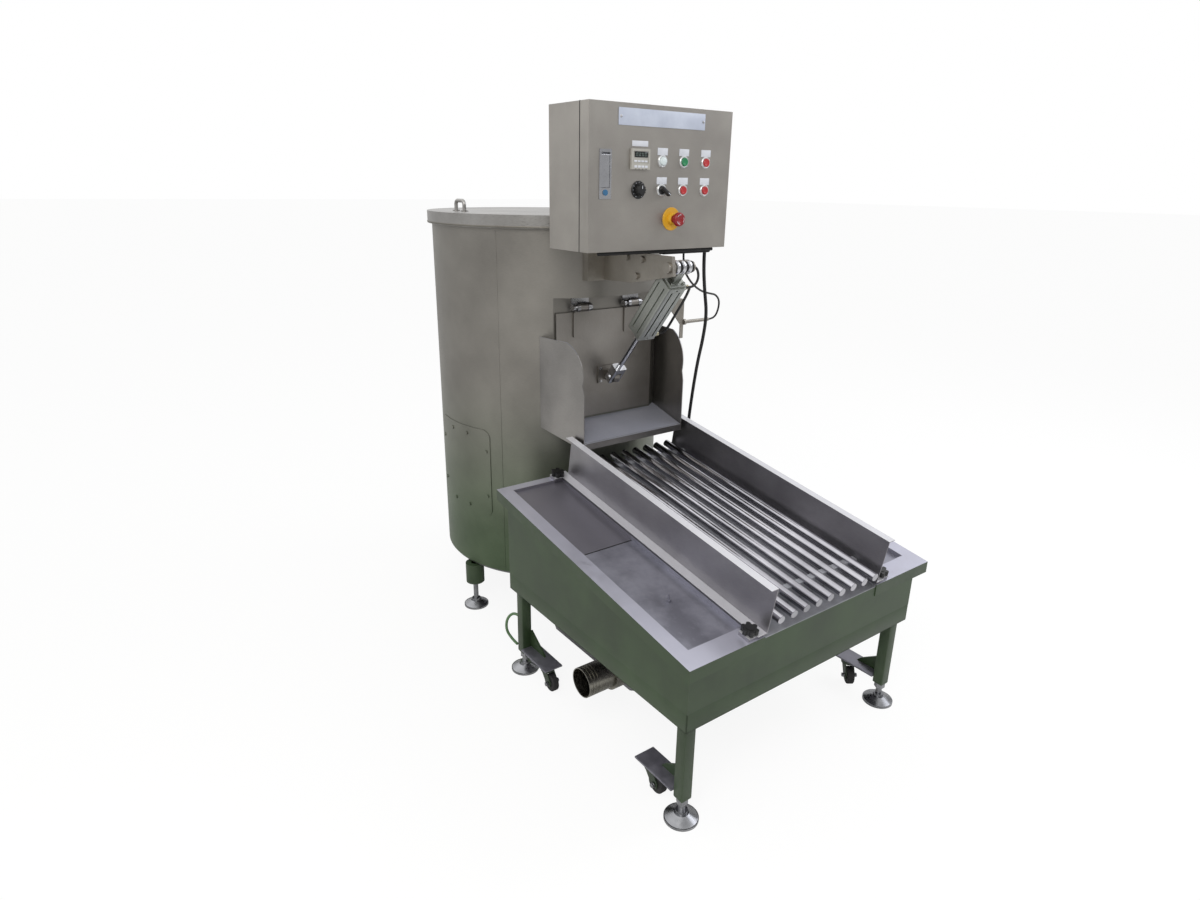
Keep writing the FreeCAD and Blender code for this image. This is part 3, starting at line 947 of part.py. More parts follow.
N_DIR = V(0, -math.sin(SLOPE_A), math.cos(SLOPE_A))
KNOB_S = (20.0, RIM_LEN - 8.0)
guide = guide_shape()
spacers = []
knobs = []
for sx in (-1, 1):
    for s in KNOB_S:
        y, z = tilt(s, 0)
        base = V(sx * KNOB_X, y, z)
        block = tilted(-15, 15, s - 15, s + 15, -1.0, GUIDE_LIFT)
        block.translate(V(sx * (KNOB_X + 1), 0, 0))
        block = block.cut(slab(-RIM_HALF, RIM_HALF, TABLE_Y0 - 20, TABLE_Y1 + 20, -40, 0))
        spacers.append(block.cut(cyl(4 + FIT, 20, base - N_DIR * 5, N_DIR)))
        at = base + N_DIR * (GUIDE_LIFT + GUIDE_T + GAP)
        hub = cyl(10, 16, at, N_DIR)
        lobes = []
        for k in range(6):
            arm_a = math.radians(60 * k)
            lobe = cyl(5.5, 12, at + V(14.5 * math.cos(arm_a), 0, 0) + V(0, math.cos(SLOPE_A), math.sin(SLOPE_A)) *
                       (14.5 * math.sin(arm_a)) + N_DIR * 3, N_DIR)
            lobes.append(lobe)
        knob = hub.fuse(lobes + [cyl(14, 12, at + N_DIR * 3, N_DIR)])
        knob = knob.fuse(cyl(4 - FIT, GUIDE_LIFT + GUIDE_T + GAP - 0.5, base + N_DIR * 0.5, N_DIR)).removeSplitter()
        knobs.append(knob)
save("star_knobs", group(knobs))
save("guides", group([guide, mirror_x(guide)] + spacers))

# Earth lead at the rear left leg
lx, ly = leg_at[1]
ez = 150.0
face = V(lx, ly + LEG, ez)
lead_pts = [face + V(25, 0, 10), face + V(25, 30.5, 10), face + V(10, 50.5, -14), face + V(5, 50.5, -52)]
lead_pts += [face + V(14, 30.5, -78), face + V(14, 0, -78)]
cord("earth_lead", lead_pts, 4.0)
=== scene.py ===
from math import cos, pi, radians, sin

import bmesh
import bpy
from mathutils import Matrix, Vector


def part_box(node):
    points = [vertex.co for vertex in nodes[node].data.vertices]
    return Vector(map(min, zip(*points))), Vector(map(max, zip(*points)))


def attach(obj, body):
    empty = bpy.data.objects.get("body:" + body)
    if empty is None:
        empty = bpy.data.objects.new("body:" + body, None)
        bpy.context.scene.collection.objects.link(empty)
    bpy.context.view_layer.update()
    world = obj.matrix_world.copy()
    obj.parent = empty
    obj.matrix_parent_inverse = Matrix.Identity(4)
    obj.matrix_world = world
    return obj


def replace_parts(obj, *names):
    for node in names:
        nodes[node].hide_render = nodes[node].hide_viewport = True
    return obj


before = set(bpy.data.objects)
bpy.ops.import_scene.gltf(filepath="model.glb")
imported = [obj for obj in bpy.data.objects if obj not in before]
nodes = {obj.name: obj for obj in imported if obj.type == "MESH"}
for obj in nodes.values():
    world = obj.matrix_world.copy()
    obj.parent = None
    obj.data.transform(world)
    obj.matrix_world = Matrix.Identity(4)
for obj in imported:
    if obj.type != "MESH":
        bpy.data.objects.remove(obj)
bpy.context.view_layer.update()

# The room: a pale floor, two soft lamps, and a camera 1.35 m high to the left of the table's front.
# Shiny faces see the world darker near the floor and brighter toward BRIGHT_SIDE. The machine's
# middle plane lies MIDDLE to the right of the frame's origin.
MIDDLE = 0.005
CAMERA_AT = Vector((-1.341, -1.72153, 1.35))
YAW, PITCH, ROLL = radians(36.12), radians(19.27), radians(0.82)
FOCAL_PX, PHOTO_PX, SENSOR_MM = 760, 1200, 36.0
BRIGHT_SIDE = (-0.55, 0.83, 0.1)
SEEN_LEVEL, DULL_LEVEL = 1.0, 0.62
GLOSS_LOW, GLOSS_HIGH = 0.38, 1.0
SIDE_DIM, SIDE_BRIGHT = 0.92, 1.62
FLOOR_HALF, FLOOR_GLOW, GLOW_SHARE = 60, 1.03, 0.86


def linear(code):
    parts = [int(code[i:i + 2], 16) / 255 for i in (1, 3, 5)]
    return tuple(c / 12.92 if c <= 0.04045 else ((c + 0.055) / 1.055) ** 2.4 for c in parts) + (1.0,)


def add(tree, kind, settings=None, **inputs):
    made = tree.nodes.new(kind)
    for key, value in (settings or {}).items():
        setattr(made, key, value)
    for key, value in inputs.items():
        name = key.replace("_", " ")
        by_number = key.startswith("in") and key[2:].isdigit()
        socket = made.inputs[int(key[2:])] if by_number else made.inputs[name]
        if isinstance(value, bpy.types.NodeSocket):
            tree.links.new(value, socket)
        else:
            socket.default_value = value
    return made


def aim_camera():
    forward = Vector((sin(YAW) * cos(PITCH), cos(YAW) * cos(PITCH), -sin(PITCH)))
    right = Vector((cos(YAW), -sin(YAW), 0))
    up = right.cross(forward)
    side = right * cos(ROLL) + up * sin(ROLL)
    top = up * cos(ROLL) - right * sin(ROLL)
    turn = Matrix((side, top, -forward)).transposed().to_4x4()
    data = bpy.data.cameras.new("camera")
    data.lens = SENSOR_MM * FOCAL_PX / PHOTO_PX
    data.sensor_width = SENSOR_MM
    camera = bpy.data.objects.new("camera", data)
    camera.matrix_world = Matrix.Translation(CAMERA_AT) @ turn
    bpy.context.scene.collection.objects.link(camera)
    bpy.context.scene.camera = camera


def soft_lamp(name, at, target, size, watts, tint):
    data = bpy.data.lights.new(name, "AREA")
    data.shape = "SQUARE"
    data.size = size
    data.energy = watts
    data.color = linear(tint)[:3]
    lamp = bpy.data.objects.new(name, data)
    turn = (Vector(target) - Vector(at)).to_track_quat("-Z", "Y").to_matrix().to_4x4()
    lamp.matrix_world = Matrix.Translation(at) @ turn
    bpy.context.scene.collection.objects.link(lamp)


def pale_room():
    world = bpy.data.worlds.new("pale_room")
    bpy.context.scene.world = world
    world.use_nodes = True
    tree = world.node_tree
    tree.nodes.clear()
    rays = add(tree, "ShaderNodeLightPath")
    seen = add(tree, "ShaderNodeMath", {"operation": "MAXIMUM"}, in0=rays.outputs["Is Camera Ray"],
               in1=rays.outputs["Is Transmission Ray"])
    coords = add(tree, "ShaderNodeTexCoord")
    split = add(tree, "ShaderNodeSeparateXYZ", Vector=coords.outputs["Generated"])
    band = add(tree, "ShaderNodeMapRange", Value=split.outputs["Z"], From_Min=-0.15, From_Max=0.75,
               To_Min=GLOSS_LOW, To_Max=GLOSS_HIGH)
    aside = add(tree, "ShaderNodeVectorMath", {"operation": "DOT_PRODUCT"}, in0=coords.outputs["Generated"],
                in1=BRIGHT_SIDE)
    wall = add(tree, "ShaderNodeMapRange", Value=aside.outputs["Value"], From_Min=-0.4, From_Max=0.9,
               To_Min=SIDE_DIM, To_Max=SIDE_BRIGHT)
    glossy = add(tree, "ShaderNodeMath", {"operation": "MULTIPLY"}, in0=band.outputs["Result"],
                 in1=wall.outputs[0])
    dull = add(tree, "ShaderNodeMix", {"data_type": "FLOAT"}, in0=rays.outputs["Is Glossy Ray"],
               in2=DULL_LEVEL, in3=glossy.outputs[0])
    level = add(tree, "ShaderNodeMix", {"data_type": "FLOAT"}, in0=seen.outputs[0], in2=dull.outputs[0],
                in3=SEEN_LEVEL)
    back = add(tree, "ShaderNodeBackground", Color=(1, 1, 1, 1), Strength=level.outputs[0])
    out = add(tree, "ShaderNodeOutputWorld")
    tree.links.new(back.outputs[0], out.inputs[0])


def pale_floor():
    bm = bmesh.new()
    bmesh.ops.create_grid(bm, x_segments=1, y_segments=1, size=FLOOR_HALF)
    mesh = bpy.data.meshes.new("floor")
    bm.to_mesh(mesh)
    bm.free()
    floor = bpy.data.objects.new("floor", mesh)
    bpy.context.scene.collection.objects.link(floor)
    paint = bpy.data.materials.new("matt pale floor paint")
    paint.use_nodes = True
    tree = paint.node_tree
    tree.nodes.clear()
    rays = add(tree, "ShaderNodeLightPath")
    matt = add(tree, "ShaderNodeBsdfPrincipled", Base_Color=linear("#f7f7f6"), Roughness=0.9)
    lit = add(tree, "ShaderNodeEmission", Color=(1, 1, 1, 1), Strength=FLOOR_GLOW)
    share = add(tree, "ShaderNodeMath", {"operation": "MULTIPLY"}, in0=rays.outputs["Is Camera Ray"],
                in1=GLOW_SHARE)
    both = add(tree, "ShaderNodeMixShader", in0=share.outputs[0], in1=matt.outputs[0], in2=lit.outputs[0])
    out = add(tree, "ShaderNodeOutputMaterial")
    tree.links.new(both.outputs[0], out.inputs[0])
    mesh.materials.append(paint)


bpy.context.scene.view_settings.view_transform = "Standard"
aim_camera()
pale_room()
pale_floor()
soft_lamp("high_left_lamp", (-2.6, -2.4, 3.4), (0, 0, 0.6), 2.2, 70, "#fffdf8")
soft_lamp("high_right_lamp", (2.8, -1.2, 3.0), (0, 0.1, 0.7), 2.0, 38, "#f6f8ff")

# The drum: a rolled stainless shell with a vertical weld, standing on tube legs whose green is a
# painted reflection of a green floor. Cold rolled sheet shows fine level grain and broad cloudy
# patches. Toward the floor a green cast is painted in, a painted reflection of the same green floor,
# so the colour turns with height.
DRUM_AT = Vector((MIDDLE, 0.42147, 0))
DRUM_R = 0.362
WELD_ANGLE, WELD_Z, WELD_SIZE = radians(214), 0.70, (0.0012, 0.0035, 1.05)
PLAIN = (1, 1, 1)
STREAK_SHARE, CLOUD_SHARE, CLOUD_MM = 0.45, 0.9, 160.0
DARK_AT, LIGHT_AT = 0.45, 0.92
GREEN_REFLECTION_FROM_Z, GREEN_REFLECTION_FULL_Z = 0.86, 0.2
SHARP_EDGE = radians(38)


def start_material(name):
    made = bpy.data.materials.new(name)
    made.use_nodes = True
    tree = made.node_tree
    tree.nodes.clear()
    shader = add(tree, "ShaderNodeBsdfPrincipled")
    out = add(tree, "ShaderNodeOutputMaterial")
    tree.links.new(shader.outputs[0], out.inputs[0])
    return made, tree, shader


def blotches(tree, size_mm, detail, rough, stretch=PLAIN):
    coords = add(tree, "ShaderNodeTexCoord")
    spread = add(tree, "ShaderNodeMapping", Vector=coords.outputs["Object"], Scale=stretch)
    return add(tree, "ShaderNodeTexNoise", Vector=spread.outputs[0], Scale=1000.0 / size_mm,
               Detail=detail, Roughness=rough).outputs[0]


# Rolled or brushed steel. The real grain is far under a millimetre, too fine to show from here, so
# it is drawn grain_mm wide and stretched by grain. It streaks the gloss, and clouds shift the tone.
def brushed_steel(name, dark, light, grain=(1, 1, 14), grain_mm=9.0, rough=0.36, metal=1.0, cast=None):
    made, tree, shader = start_material(name)
    streak = blotches(tree, grain_mm, 3.0, 0.5, grain)
    cloud = blotches(tree, CLOUD_MM, 3.0, 0.5)
    share = add(tree, "ShaderNodeMath", {"operation": "MULTIPLY"}, in0=streak, in1=STREAK_SHARE)
    both = add(tree, "ShaderNodeMath", {"operation": "MULTIPLY_ADD"}, in0=cloud, in1=CLOUD_SHARE,
               in2=share.outputs[0])
    spread = add(tree, "ShaderNodeMapRange", Value=both.outputs[0], From_Min=DARK_AT, From_Max=LIGHT_AT)
    tone = add(tree, "ShaderNodeMix", {"data_type": "RGBA"}, in0=spread.outputs[0], in6=linear(dark),
               in7=linear(light)).outputs[2]
    # The green cast toward the floor is a painted reflection of a green floor in the steel.
    if cast:
        coords = add(tree, "ShaderNodeTexCoord")
        split = add(tree, "ShaderNodeSeparateXYZ", Vector=coords.outputs["Object"])
        fall = add(tree, "ShaderNodeMapRange", {"interpolation_type": "SMOOTHSTEP"},
                   Value=split.outputs["Z"], From_Min=GREEN_REFLECTION_FULL_Z, From_Max=GREEN_REFLECTION_FROM_Z, To_Min=1.0,
                   To_Max=0.0)
        low = add(tree, "ShaderNodeMix", {"data_type": "RGBA"}, in0=spread.outputs[0],
                  in6=linear(cast[0]), in7=linear(cast[1]))
        tone = add(tree, "ShaderNodeMix", {"data_type": "RGBA"}, in0=fall.outputs[0], in6=tone,
                   in7=low.outputs[2]).outputs[2]
    tree.links.new(tone, shader.inputs["Base Color"])
    shader.inputs["Metallic"].default_value = metal
    wear = add(tree, "ShaderNodeMapRange", Value=streak, From_Min=0.3, From_Max=0.7, To_Min=rough - 0.07,
               To_Max=rough + 0.09)
    tree.links.new(wear.outputs[0], shader.inputs["Roughness"])
    bump = add(tree, "ShaderNodeBump", Strength=0.12, Distance=0.0004, Height=streak)
    tree.links.new(bump.outputs[0], shader.inputs["Normal"])
    return made


# Paint, rubber and moulded plastic: an even colour with a soft gloss that varies in patches over
# a fine skin. The skin is drawn a little coarser than the real one, so that it shows.
def satin_paint(name, base, other, rough=0.5, patch_mm=60.0, grain_mm=1.4, depth=0.0003):
    made, tree, shader = start_material(name)
    patch = blotches(tree, patch_mm, 4.0, 0.55)
    skin = blotches(tree, grain_mm, 2.0, 0.5)
    spread = add(tree, "ShaderNodeMapRange", Value=patch, From_Min=0.32, From_Max=0.68)
    tone = add(tree, "ShaderNodeMix", {"data_type": "RGBA"}, in0=spread.outputs[0], in6=linear(base),
               in7=linear(other))
    tree.links.new(tone.outputs[2], shader.inputs["Base Color"])
    wear = add(tree, "ShaderNodeMapRange", Value=patch, To_Min=rough - 0.08, To_Max=rough + 0.1)
    tree.links.new(wear.outputs[0], shader.inputs["Roughness"])
    bump = add(tree, "ShaderNodeBump", Strength=0.25, Distance=depth, Height=skin)
    tree.links.new(bump.outputs[0], shader.inputs["Normal"])
    return made


def dress(material, *names):
    for name in names:
        mesh = nodes[name].data
        mesh.materials.clear()
        mesh.materials.append(material)


def finish_piece(name, bm, material, body):
    mesh = bpy.data.meshes.new(name)
    bmesh.ops.remove_doubles(bm, verts=bm.verts[:], dist=1e-6)
    bmesh.ops.recalc_face_normals(bm, faces=bm.faces[:])
    bm.to_mesh(mesh)
    bm.free()
    for face in mesh.polygons:
        face.use_smooth = True
    mesh.set_sharp_from_angle(angle=SHARP_EDGE)
    mesh.materials.append(material)
    made = bpy.data.objects.new(name, mesh)
    bpy.context.scene.collection.objects.link(made)
    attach(made, body)
    return made


def join(bm, part, place):
    bmesh.ops.transform(part, matrix=place, verts=part.verts[:])
    mesh = bpy.data.meshes.new("part")
    part.to_mesh(mesh)
    part.free()
    bm.from_mesh(mesh)
    bpy.data.meshes.remove(mesh)


def lathe(bm, profile, place, steps):
    part = bmesh.new()
    verts = [part.verts.new((r, 0, z)) for r, z in profile]
    edges = [part.edges.new(pair) for pair in zip(verts, verts[1:])]
    bmesh.ops.spin(part, geom=verts + edges, cent=(0, 0, 0), axis=(0, 0, 1), angle=2 * pi, steps=steps,
                   use_merge=True)
    bmesh.ops.remove_doubles(part, verts=part.verts[:], dist=1e-7)
    join(bm, part, place)


def block(bm, size, place, bevel=0.0, steps=2):
    part = bmesh.new()
    bmesh.ops.create_cube(part, size=1.0, matrix=Matrix.Diagonal((*size, 1.0)))
    if bevel:
        bmesh.ops.bevel(part, geom=part.edges[:], offset=bevel, segments=steps, profile=0.5, affect="EDGES",
                        material=-1)
    join(bm, part, place)


# The drum's green cast toward the floor is a painted reflection of a green floor.
drum_sheet = brushed_steel("cold rolled stainless sheet, drum", "#7b7873", "#908d87", grain=(1, 1, 10),
                           rough=0.42, metal=0.85, cast=("#4b5945", "#617059"))
inner_sheet = brushed_steel("cold rolled stainless sheet, inside", "#77767a", "#96959a", rough=0.4)
dress(drum_sheet, "drum_shell", "access_cover")
dress(inner_sheet, "drum_decks")
# The green of the legs, the frame and the table's panels is a painted reflection of a green floor.
painted_floor_green = satin_paint("painted green floor reflection", "#25351e", "#35472d", rough=0.42, patch_mm=120.0)
dress(painted_floor_green, "drum_legs")


def shell_weld():
    bm = bmesh.new()
    out = Vector((cos(WELD_ANGLE), sin(WELD_ANGLE), 0))
    at = DRUM_AT + out * (DRUM_R + 0.0001) + Vector((0, 0, WELD_Z))
    block(bm, WELD_SIZE, Matrix.Translation(at) @ Matrix.Rotation(WELD_ANGLE, 4, "Z"), 0.0005, 1)
    finish_piece("shell_weld", bm, drum_sheet, "frame")


shell_weld()

# Inside the drum: a lining and a disc of bonded carborundum grit, dark and rough like coarse
# sandpaper, over a bearing housing and a gear motor that are cast and painted grey.
carborundum = satin_paint("bonded carborundum grit", "#2b2a28", "#55524d", rough=0.85, patch_mm=4.0,
                          grain_mm=2.0, depth=0.0012)
dress(carborundum, "abrasive_lining", "abrasive_disc")
cast_paint = satin_paint("grey painted casting", "#3f4347", "#54585c", rough=0.55, patch_mm=30.0,
                         grain_mm=3.0)
dress(cast_paint, "bearing_housing", "gear_motor")

# The lid: a flat stainless disc with a folded skirt and a bent wire handle on its left side,
# hinged on the right on a welded pin bracket. Its sheet is drawn lighter than the drum's, and a
# ground weld bead, duller and darker than the sheet, runs round its edge.
LID_SKIRT_R, BEAD_Z, BEAD_HALF, BEAD_PROUD, BEAD_BACK = 0.375, 1.2365, 0.0028, 0.0012, 0.0008
lid_sheet = brushed_steel("bright rolled stainless, lid", "#8d8b88", "#aeacaa", grain=(1, 1, 8), rough=0.34,
                          metal=0.95)
dress(lid_sheet, "lid", "lid_hinge_bracket")


def lid_edge_bead():
    bm = bmesh.new()
    half, proud = BEAD_HALF, BEAD_PROUD
    lathe(bm, [(LID_SKIRT_R, BEAD_Z - half), (LID_SKIRT_R + proud * 0.7, BEAD_Z - half * 0.7),
               (LID_SKIRT_R + proud, BEAD_Z), (LID_SKIRT_R + proud * 0.7, BEAD_Z + half * 0.7),
               (LID_SKIRT_R, BEAD_Z + half), (LID_SKIRT_R - BEAD_BACK, BEAD_Z + half),
               (LID_SKIRT_R - BEAD_BACK, BEAD_Z - half), (LID_SKIRT_R, BEAD_Z - half)],
          Matrix.Translation(DRUM_AT), 128)
    weld_metal = brushed_steel("ground weld bead", "#68655f", "#8a8780", grain=PLAIN, grain_mm=4.0,
                               rough=0.5)
    finish_piece("lid_edge_bead", bm, weld_metal, "lid")


lid_edge_bead()

# The chute and the discharge door: bent stainless sheet with a level brushed grain. The door hangs
# on two bolted lugs and is pushed by the cylinder's rod through a tongue on a small base plate. The
# chute's floor carries a thin wear plate, which covers the slit that the drum's cut leaves in it.
DOOR_FRONT, CLEVIS_Z = 0.10147, 0.806
CHUTE_LIP_Y, CHUTE_LIP_HALF, CHUTE_TOP_Z, CHUTE_RISE, CHUTE_SPLAY = -0.04953, 0.181, 0.6525, 0.1339, 0.1795
WEAR_INSET, WEAR_BACK, WEAR_FACES = 0.004, 0.008, (-0.0004, 0.0014)


# The up-facing sides of a bent sheet get two colours of their own, which come in as the face turns
# up from low to high. This is painted light: it paints the difference that light from above and
# reflection make between a sheet's top and its walls.
def painted_light_by_slope(made, base, other, low, high, metal=0.3, patch_mm=70.0):
    tree = made.node_tree
    shader = next(n for n in tree.nodes if n.type == "BSDF_PRINCIPLED")
    before = shader.inputs["Base Color"].links[0].from_socket
    look = add(tree, "ShaderNodeNewGeometry")
    split = add(tree, "ShaderNodeSeparateXYZ", Vector=look.outputs["True Normal"])
    share = add(tree, "ShaderNodeMapRange", {"interpolation_type": "SMOOTHSTEP"}, Value=split.outputs["Z"],
                From_Min=low, From_Max=high)
    tone = add(tree, "ShaderNodeMix", {"data_type": "RGBA"}, in0=blotches(tree, patch_mm, 3.0, 0.5),
               in6=linear(base), in7=linear(other))
    both = add(tree, "ShaderNodeMix", {"data_type": "RGBA"}, in0=share.outputs[0], in6=before,
               in7=tone.outputs[2])
    tree.links.new(both.outputs[2], shader.inputs["Base Color"])
    shine = add(tree, "ShaderNodeMix", {"data_type": "FLOAT"}, in0=share.outputs[0],
                in2=shader.inputs["Metallic"].default_value, in3=metal)
    tree.links.new(shine.outputs[0], shader.inputs["Metallic"])


chute_sheet = brushed_steel("brushed stainless sheet, chute", "#848280", "#a3a09d", rough=0.36)
# The chute's up-facing floor is painted lighter and less metallic: painted light from above.
painted_light_by_slope(chute_sheet, "#a3a5b0", "#8f919d", 0.5, 0.9, 0.25)
door_sheet = brushed_steel("brushed stainless sheet, door", "#85817c", "#a19d98", rough=0.42,
                           grain=(14, 1, 1))
lug_steel = brushed_steel("turned bright steel", "#9a9a9c", "#c6c6c8", grain=PLAIN, grain_mm=3.0, rough=0.26)
seal_rubber = satin_paint("black sponge rubber", "#141414", "#1d1d1d", rough=0.8)
dress(chute_sheet, "discharge_chute")
dress(door_sheet, "discharge_door", "door_straps")
dress(lug_steel, "door_lugs")
dress(seal_rubber, "door_seal")


def facing(at, direction):
    turn = Vector(direction).normalized().to_track_quat("Z", "Y").to_matrix().to_4x4()
    return Matrix.Translation(Vector(at)) @ turn


def hex_bolt(bm, at, direction, across, tall):
    place = facing(at, direction)
    lathe(bm, [(0, 0), (across * 0.62, 0), (across * 0.62, 0.0012), (0, 0.0012)], place, 24)
    part = bmesh.new()
    bmesh.ops.create_cone(part, cap_ends=True, segments=6, radius1=across * 0.5774, radius2=across * 0.5774,
                          depth=tall, matrix=Matrix.Translation((0, 0, 0.0012 + tall / 2)))
    rim = [e for e in part.edges if all(v.co.z > tall for v in e.verts)]
    bmesh.ops.bevel(part, geom=rim, offset=0.0008, segments=1, profile=0.5, affect="EDGES", material=-1)
    join(bm, part, place)


def door_bolts():
    bm = bmesh.new()
    for dx in (-0.022, 0.022):
        for dz in (-0.019, 0.019):
            hex_bolt(bm, (MIDDLE + dx, DOOR_FRONT - 0.006, CLEVIS_Z + dz), (0, -1, 0), 0.008, 0.004)
    finish_piece("door_bolts", bm, lug_steel, "door")


def chute_wear_plate():
    bm = bmesh.new()
    for y in (CHUTE_LIP_Y + WEAR_INSET, DOOR_FRONT - WEAR_BACK):
        half = CHUTE_LIP_HALF - WEAR_INSET + (y - CHUTE_LIP_Y) * CHUTE_SPLAY
        top = CHUTE_TOP_Z + (y - CHUTE_LIP_Y) * CHUTE_RISE
        for x in (-half, half):
            for lift in WEAR_FACES:
                bm.verts.new((MIDDLE + x, y, top + lift))
    bmesh.ops.convex_hull(bm, input=bm.verts[:])
    finish_piece("chute_wear_plate", bm, chute_sheet, "frame")


door_bolts()
chute_wear_plate()

# The arm and the air cylinder: a thick bent plate bolted to the drum carries the pivot. The cylinder's
# extruded barrel is clear anodised, its caps are cast and screwed on, and its rod is hard chromed.
arm_plate = brushed_steel("hot rolled stainless plate", "#8a867f", "#aca79f", grain=(1, 8, 1), rough=0.45)
anodised = brushed_steel("clear anodised aluminium", "#8f928d", "#b2b5af", grain=PLAIN, grain_mm=2.0,
                         rough=0.38)
hard_chrome = brushed_steel("hard chromed bar", "#b5b6b9", "#dcdde0", grain=PLAIN, grain_mm=3.0, rough=0.14)
dress(arm_plate, "cylinder_arm", "door_sensor")
dress(anodised, "cylinder_barrel", "cylinder_caps")
dress(hard_chrome, "piston_rod")
SIDE = Vector((1, 0, 0))
PIVOT = Vector((MIDDLE, -0.22153, 1.151))
ROD_PIN = Vector((MIDDLE, 0.05847, CLEVIS_Z))
CYL_DIR = (ROD_PIN - PIVOT).normalized()
CYL_UP = SIDE.cross(CYL_DIR).normalized()
BACK_PORT, FRONT_PORT, PORT_DROP = 0.0565, 0.2405, 0.018
COLLARS_X = (-0.0285, -0.0085, 0.0115)


def tube_curve(name, points, radius, material, body):
    data = bpy.data.curves.new(name, "CURVE")
    data.dimensions = "3D"
    data.bevel_depth = radius
    data.bevel_resolution = 5
    data.resolution_u = 10
    data.use_fill_caps = True
    line = data.splines.new("NURBS")
    line.points.add(len(points) - 1)
    for point, at in zip(line.points, points):
        point.co = (*at, 1.0)
    line.order_u = 3
    line.use_endpoint_u = True
    data.materials.append(material)
    made = bpy.data.objects.new(name, data)
    bpy.context.scene.collection.objects.link(made)
    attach(made, body)
    return made


pneumatic_tube = satin_paint("black polyurethane air tube", "#161616", "#222222", rough=0.35)
brass = brushed_steel("nickel plated brass", "#8f8a76", "#b9b39a", grain=PLAIN, grain_mm=3.0, rough=0.3)


def on_cylinder(along, out, drop):
    return PIVOT + CYL_DIR * along + SIDE * out - CYL_UP * drop


def port_fittings():
    bm = bmesh.new()
    for along in (BACK_PORT, FRONT_PORT):
        lathe(bm, [(0, 0), (0.0075, 0), (0.0075, 0.006), (0.0060, 0.007), (0.0060, 0.015), (0.0038, 0.016),
                   (0, 0.016)], facing(on_cylinder(along, 0.030, PORT_DROP), SIDE), 24)
    finish_piece("port_fittings", bm, brass, "barrel")


def air_tube(name, places, radius):
    points = [on_cylinder(*place) for place in places]
    tube_curve(name, points, radius, pneumatic_tube, "barrel")


def pivot_collars():
    bright = bmesh.new()
    dark = bmesh.new()
    for x in COLLARS_X:
        place = facing(PIVOT + SIDE * x, SIDE)
        lathe(bright, [(0.0152, 0), (0.0178, 0.0008), (0.0186, 0.0022), (0.0186, 0.0098), (0.0178, 0.0112),
                       (0.0152, 0.0120)], place, 40)
        lathe(dark, [(0.0151, 0.0122), (0.0158, 0.0122), (0.0158, 0.0198), (0.0151, 0.0198)], place, 40)
    finish_piece("pivot_collars", bright, hard_chrome, "barrel")
    finish_piece("pivot_seals", dark, seal_rubber, "barrel")


port_fittings()
air_tube("cylinder_air_tube", [
    (FRONT_PORT, 0.0445, PORT_DROP), (FRONT_PORT, 0.052, PORT_DROP), (0.230, 0.059, 0.022),
    (0.205, 0.054, 0.030), (0.150, 0.045, 0.034), (0.095, 0.045, 0.032), (0.064, 0.052, 0.022),
    (BACK_PORT, 0.052, PORT_DROP), (BACK_PORT, 0.0445, PORT_DROP)], 0.0036)
air_tube("pivot_air_tube", [
    (0, 0.030, 0), (0, 0.040, 0), (0.004, 0.056, 0.004), (0.024, 0.064, 0.018), (0.044, 0.058, 0.026),
    (0.053, 0.042, 0.024), (0.053, 0.029, 0.022)], 0.0033)
pivot_collars()

# The control box: folded and welded stainless with a fine vertical grain, a door shell hinged on
# its right edge, and a flush latch with a blue thumb button. The door closes on a black seal. Under
# the box hangs a black rubber strip with a thick end: a painted shadow of the gap under the box,
# together with a black cable bundle.
BOX_FRONT, DOOR_DEEP = -0.15053, 0.03825
BOX_LEFT, BOX_RIGHT, BOX_LOW, BOX_HIGH = MIDDLE - 0.2450, MIDDLE + 0.2190, 1.1900, 1.5350
SEAM_T, SEAM_WIDE = 0.0010, 0.0022
box_sheet = brushed_steel("fine brushed stainless sheet", "#96928d", "#aeaaa4", grain=(16, 16, 1),
                          grain_mm=7.0, rough=0.4, metal=0.88)
dress(box_sheet, "box_body", "box_door")
latch_plate = brushed_steel("satin chromed latch", "#b0b1b5", "#bfc0c4", grain=PLAIN, grain_mm=60.0,
                            rough=0.22)
dress(latch_plate, "latch_case", "latch_lever")
blue_button = satin_paint("blue moulded nylon", "#2c5f86", "#35698f", rough=0.4)
dress(blue_button, "latch_button")
gland_nylon = satin_paint("black nylon gland", "#121212", "#1c1c1c", rough=0.5)
dress(gland_nylon, "cable_glands")
grey_abs = satin_paint("light grey moulded gear", "#c5c7c9", "#d5d7d8", rough=0.5)
dress(grey_abs, "switchgear")


def block_at(bm, size, centre, bevel=0.0):
    block(bm, size, Matrix.Translation(centre), bevel)


def box_gasket():
    bm = bmesh.new()
    mid_x, mid_z = (BOX_LEFT + BOX_RIGHT) / 2, (BOX_LOW + BOX_HIGH) / 2
    y = BOX_FRONT + DOOR_DEEP
    for z in (BOX_LOW, BOX_HIGH):
        block_at(bm, (BOX_RIGHT - BOX_LEFT, SEAM_WIDE, SEAM_T), (mid_x, y, z))
    for x in (BOX_LEFT, BOX_RIGHT):
        block_at(bm, (SEAM_T, SEAM_WIDE, BOX_HIGH - BOX_LOW), (x, y, mid_z))
    finish_piece("box_gasket", bm, seal_rubber, "frame")


def under_box_shadow_and_cables():
    bm = bmesh.new()
    # The strip is a painted shadow of the gap under the box, together with a black cable bundle at its thick
    # end.
    y = BOX_FRONT + 0.010
    block_at(bm, (0.390, 0.010, 0.009), (MIDDLE - 0.013, y, 1.1853), 0.003)
    block_at(bm, (0.170, 0.024, 0.014), (MIDDLE + 0.093, y + 0.012, 1.1828), 0.004)
    finish_piece("under_box_shadow_and_cable_strip", bm, seal_rubber, "frame")


box_gasket()
under_box_shadow_and_cables()

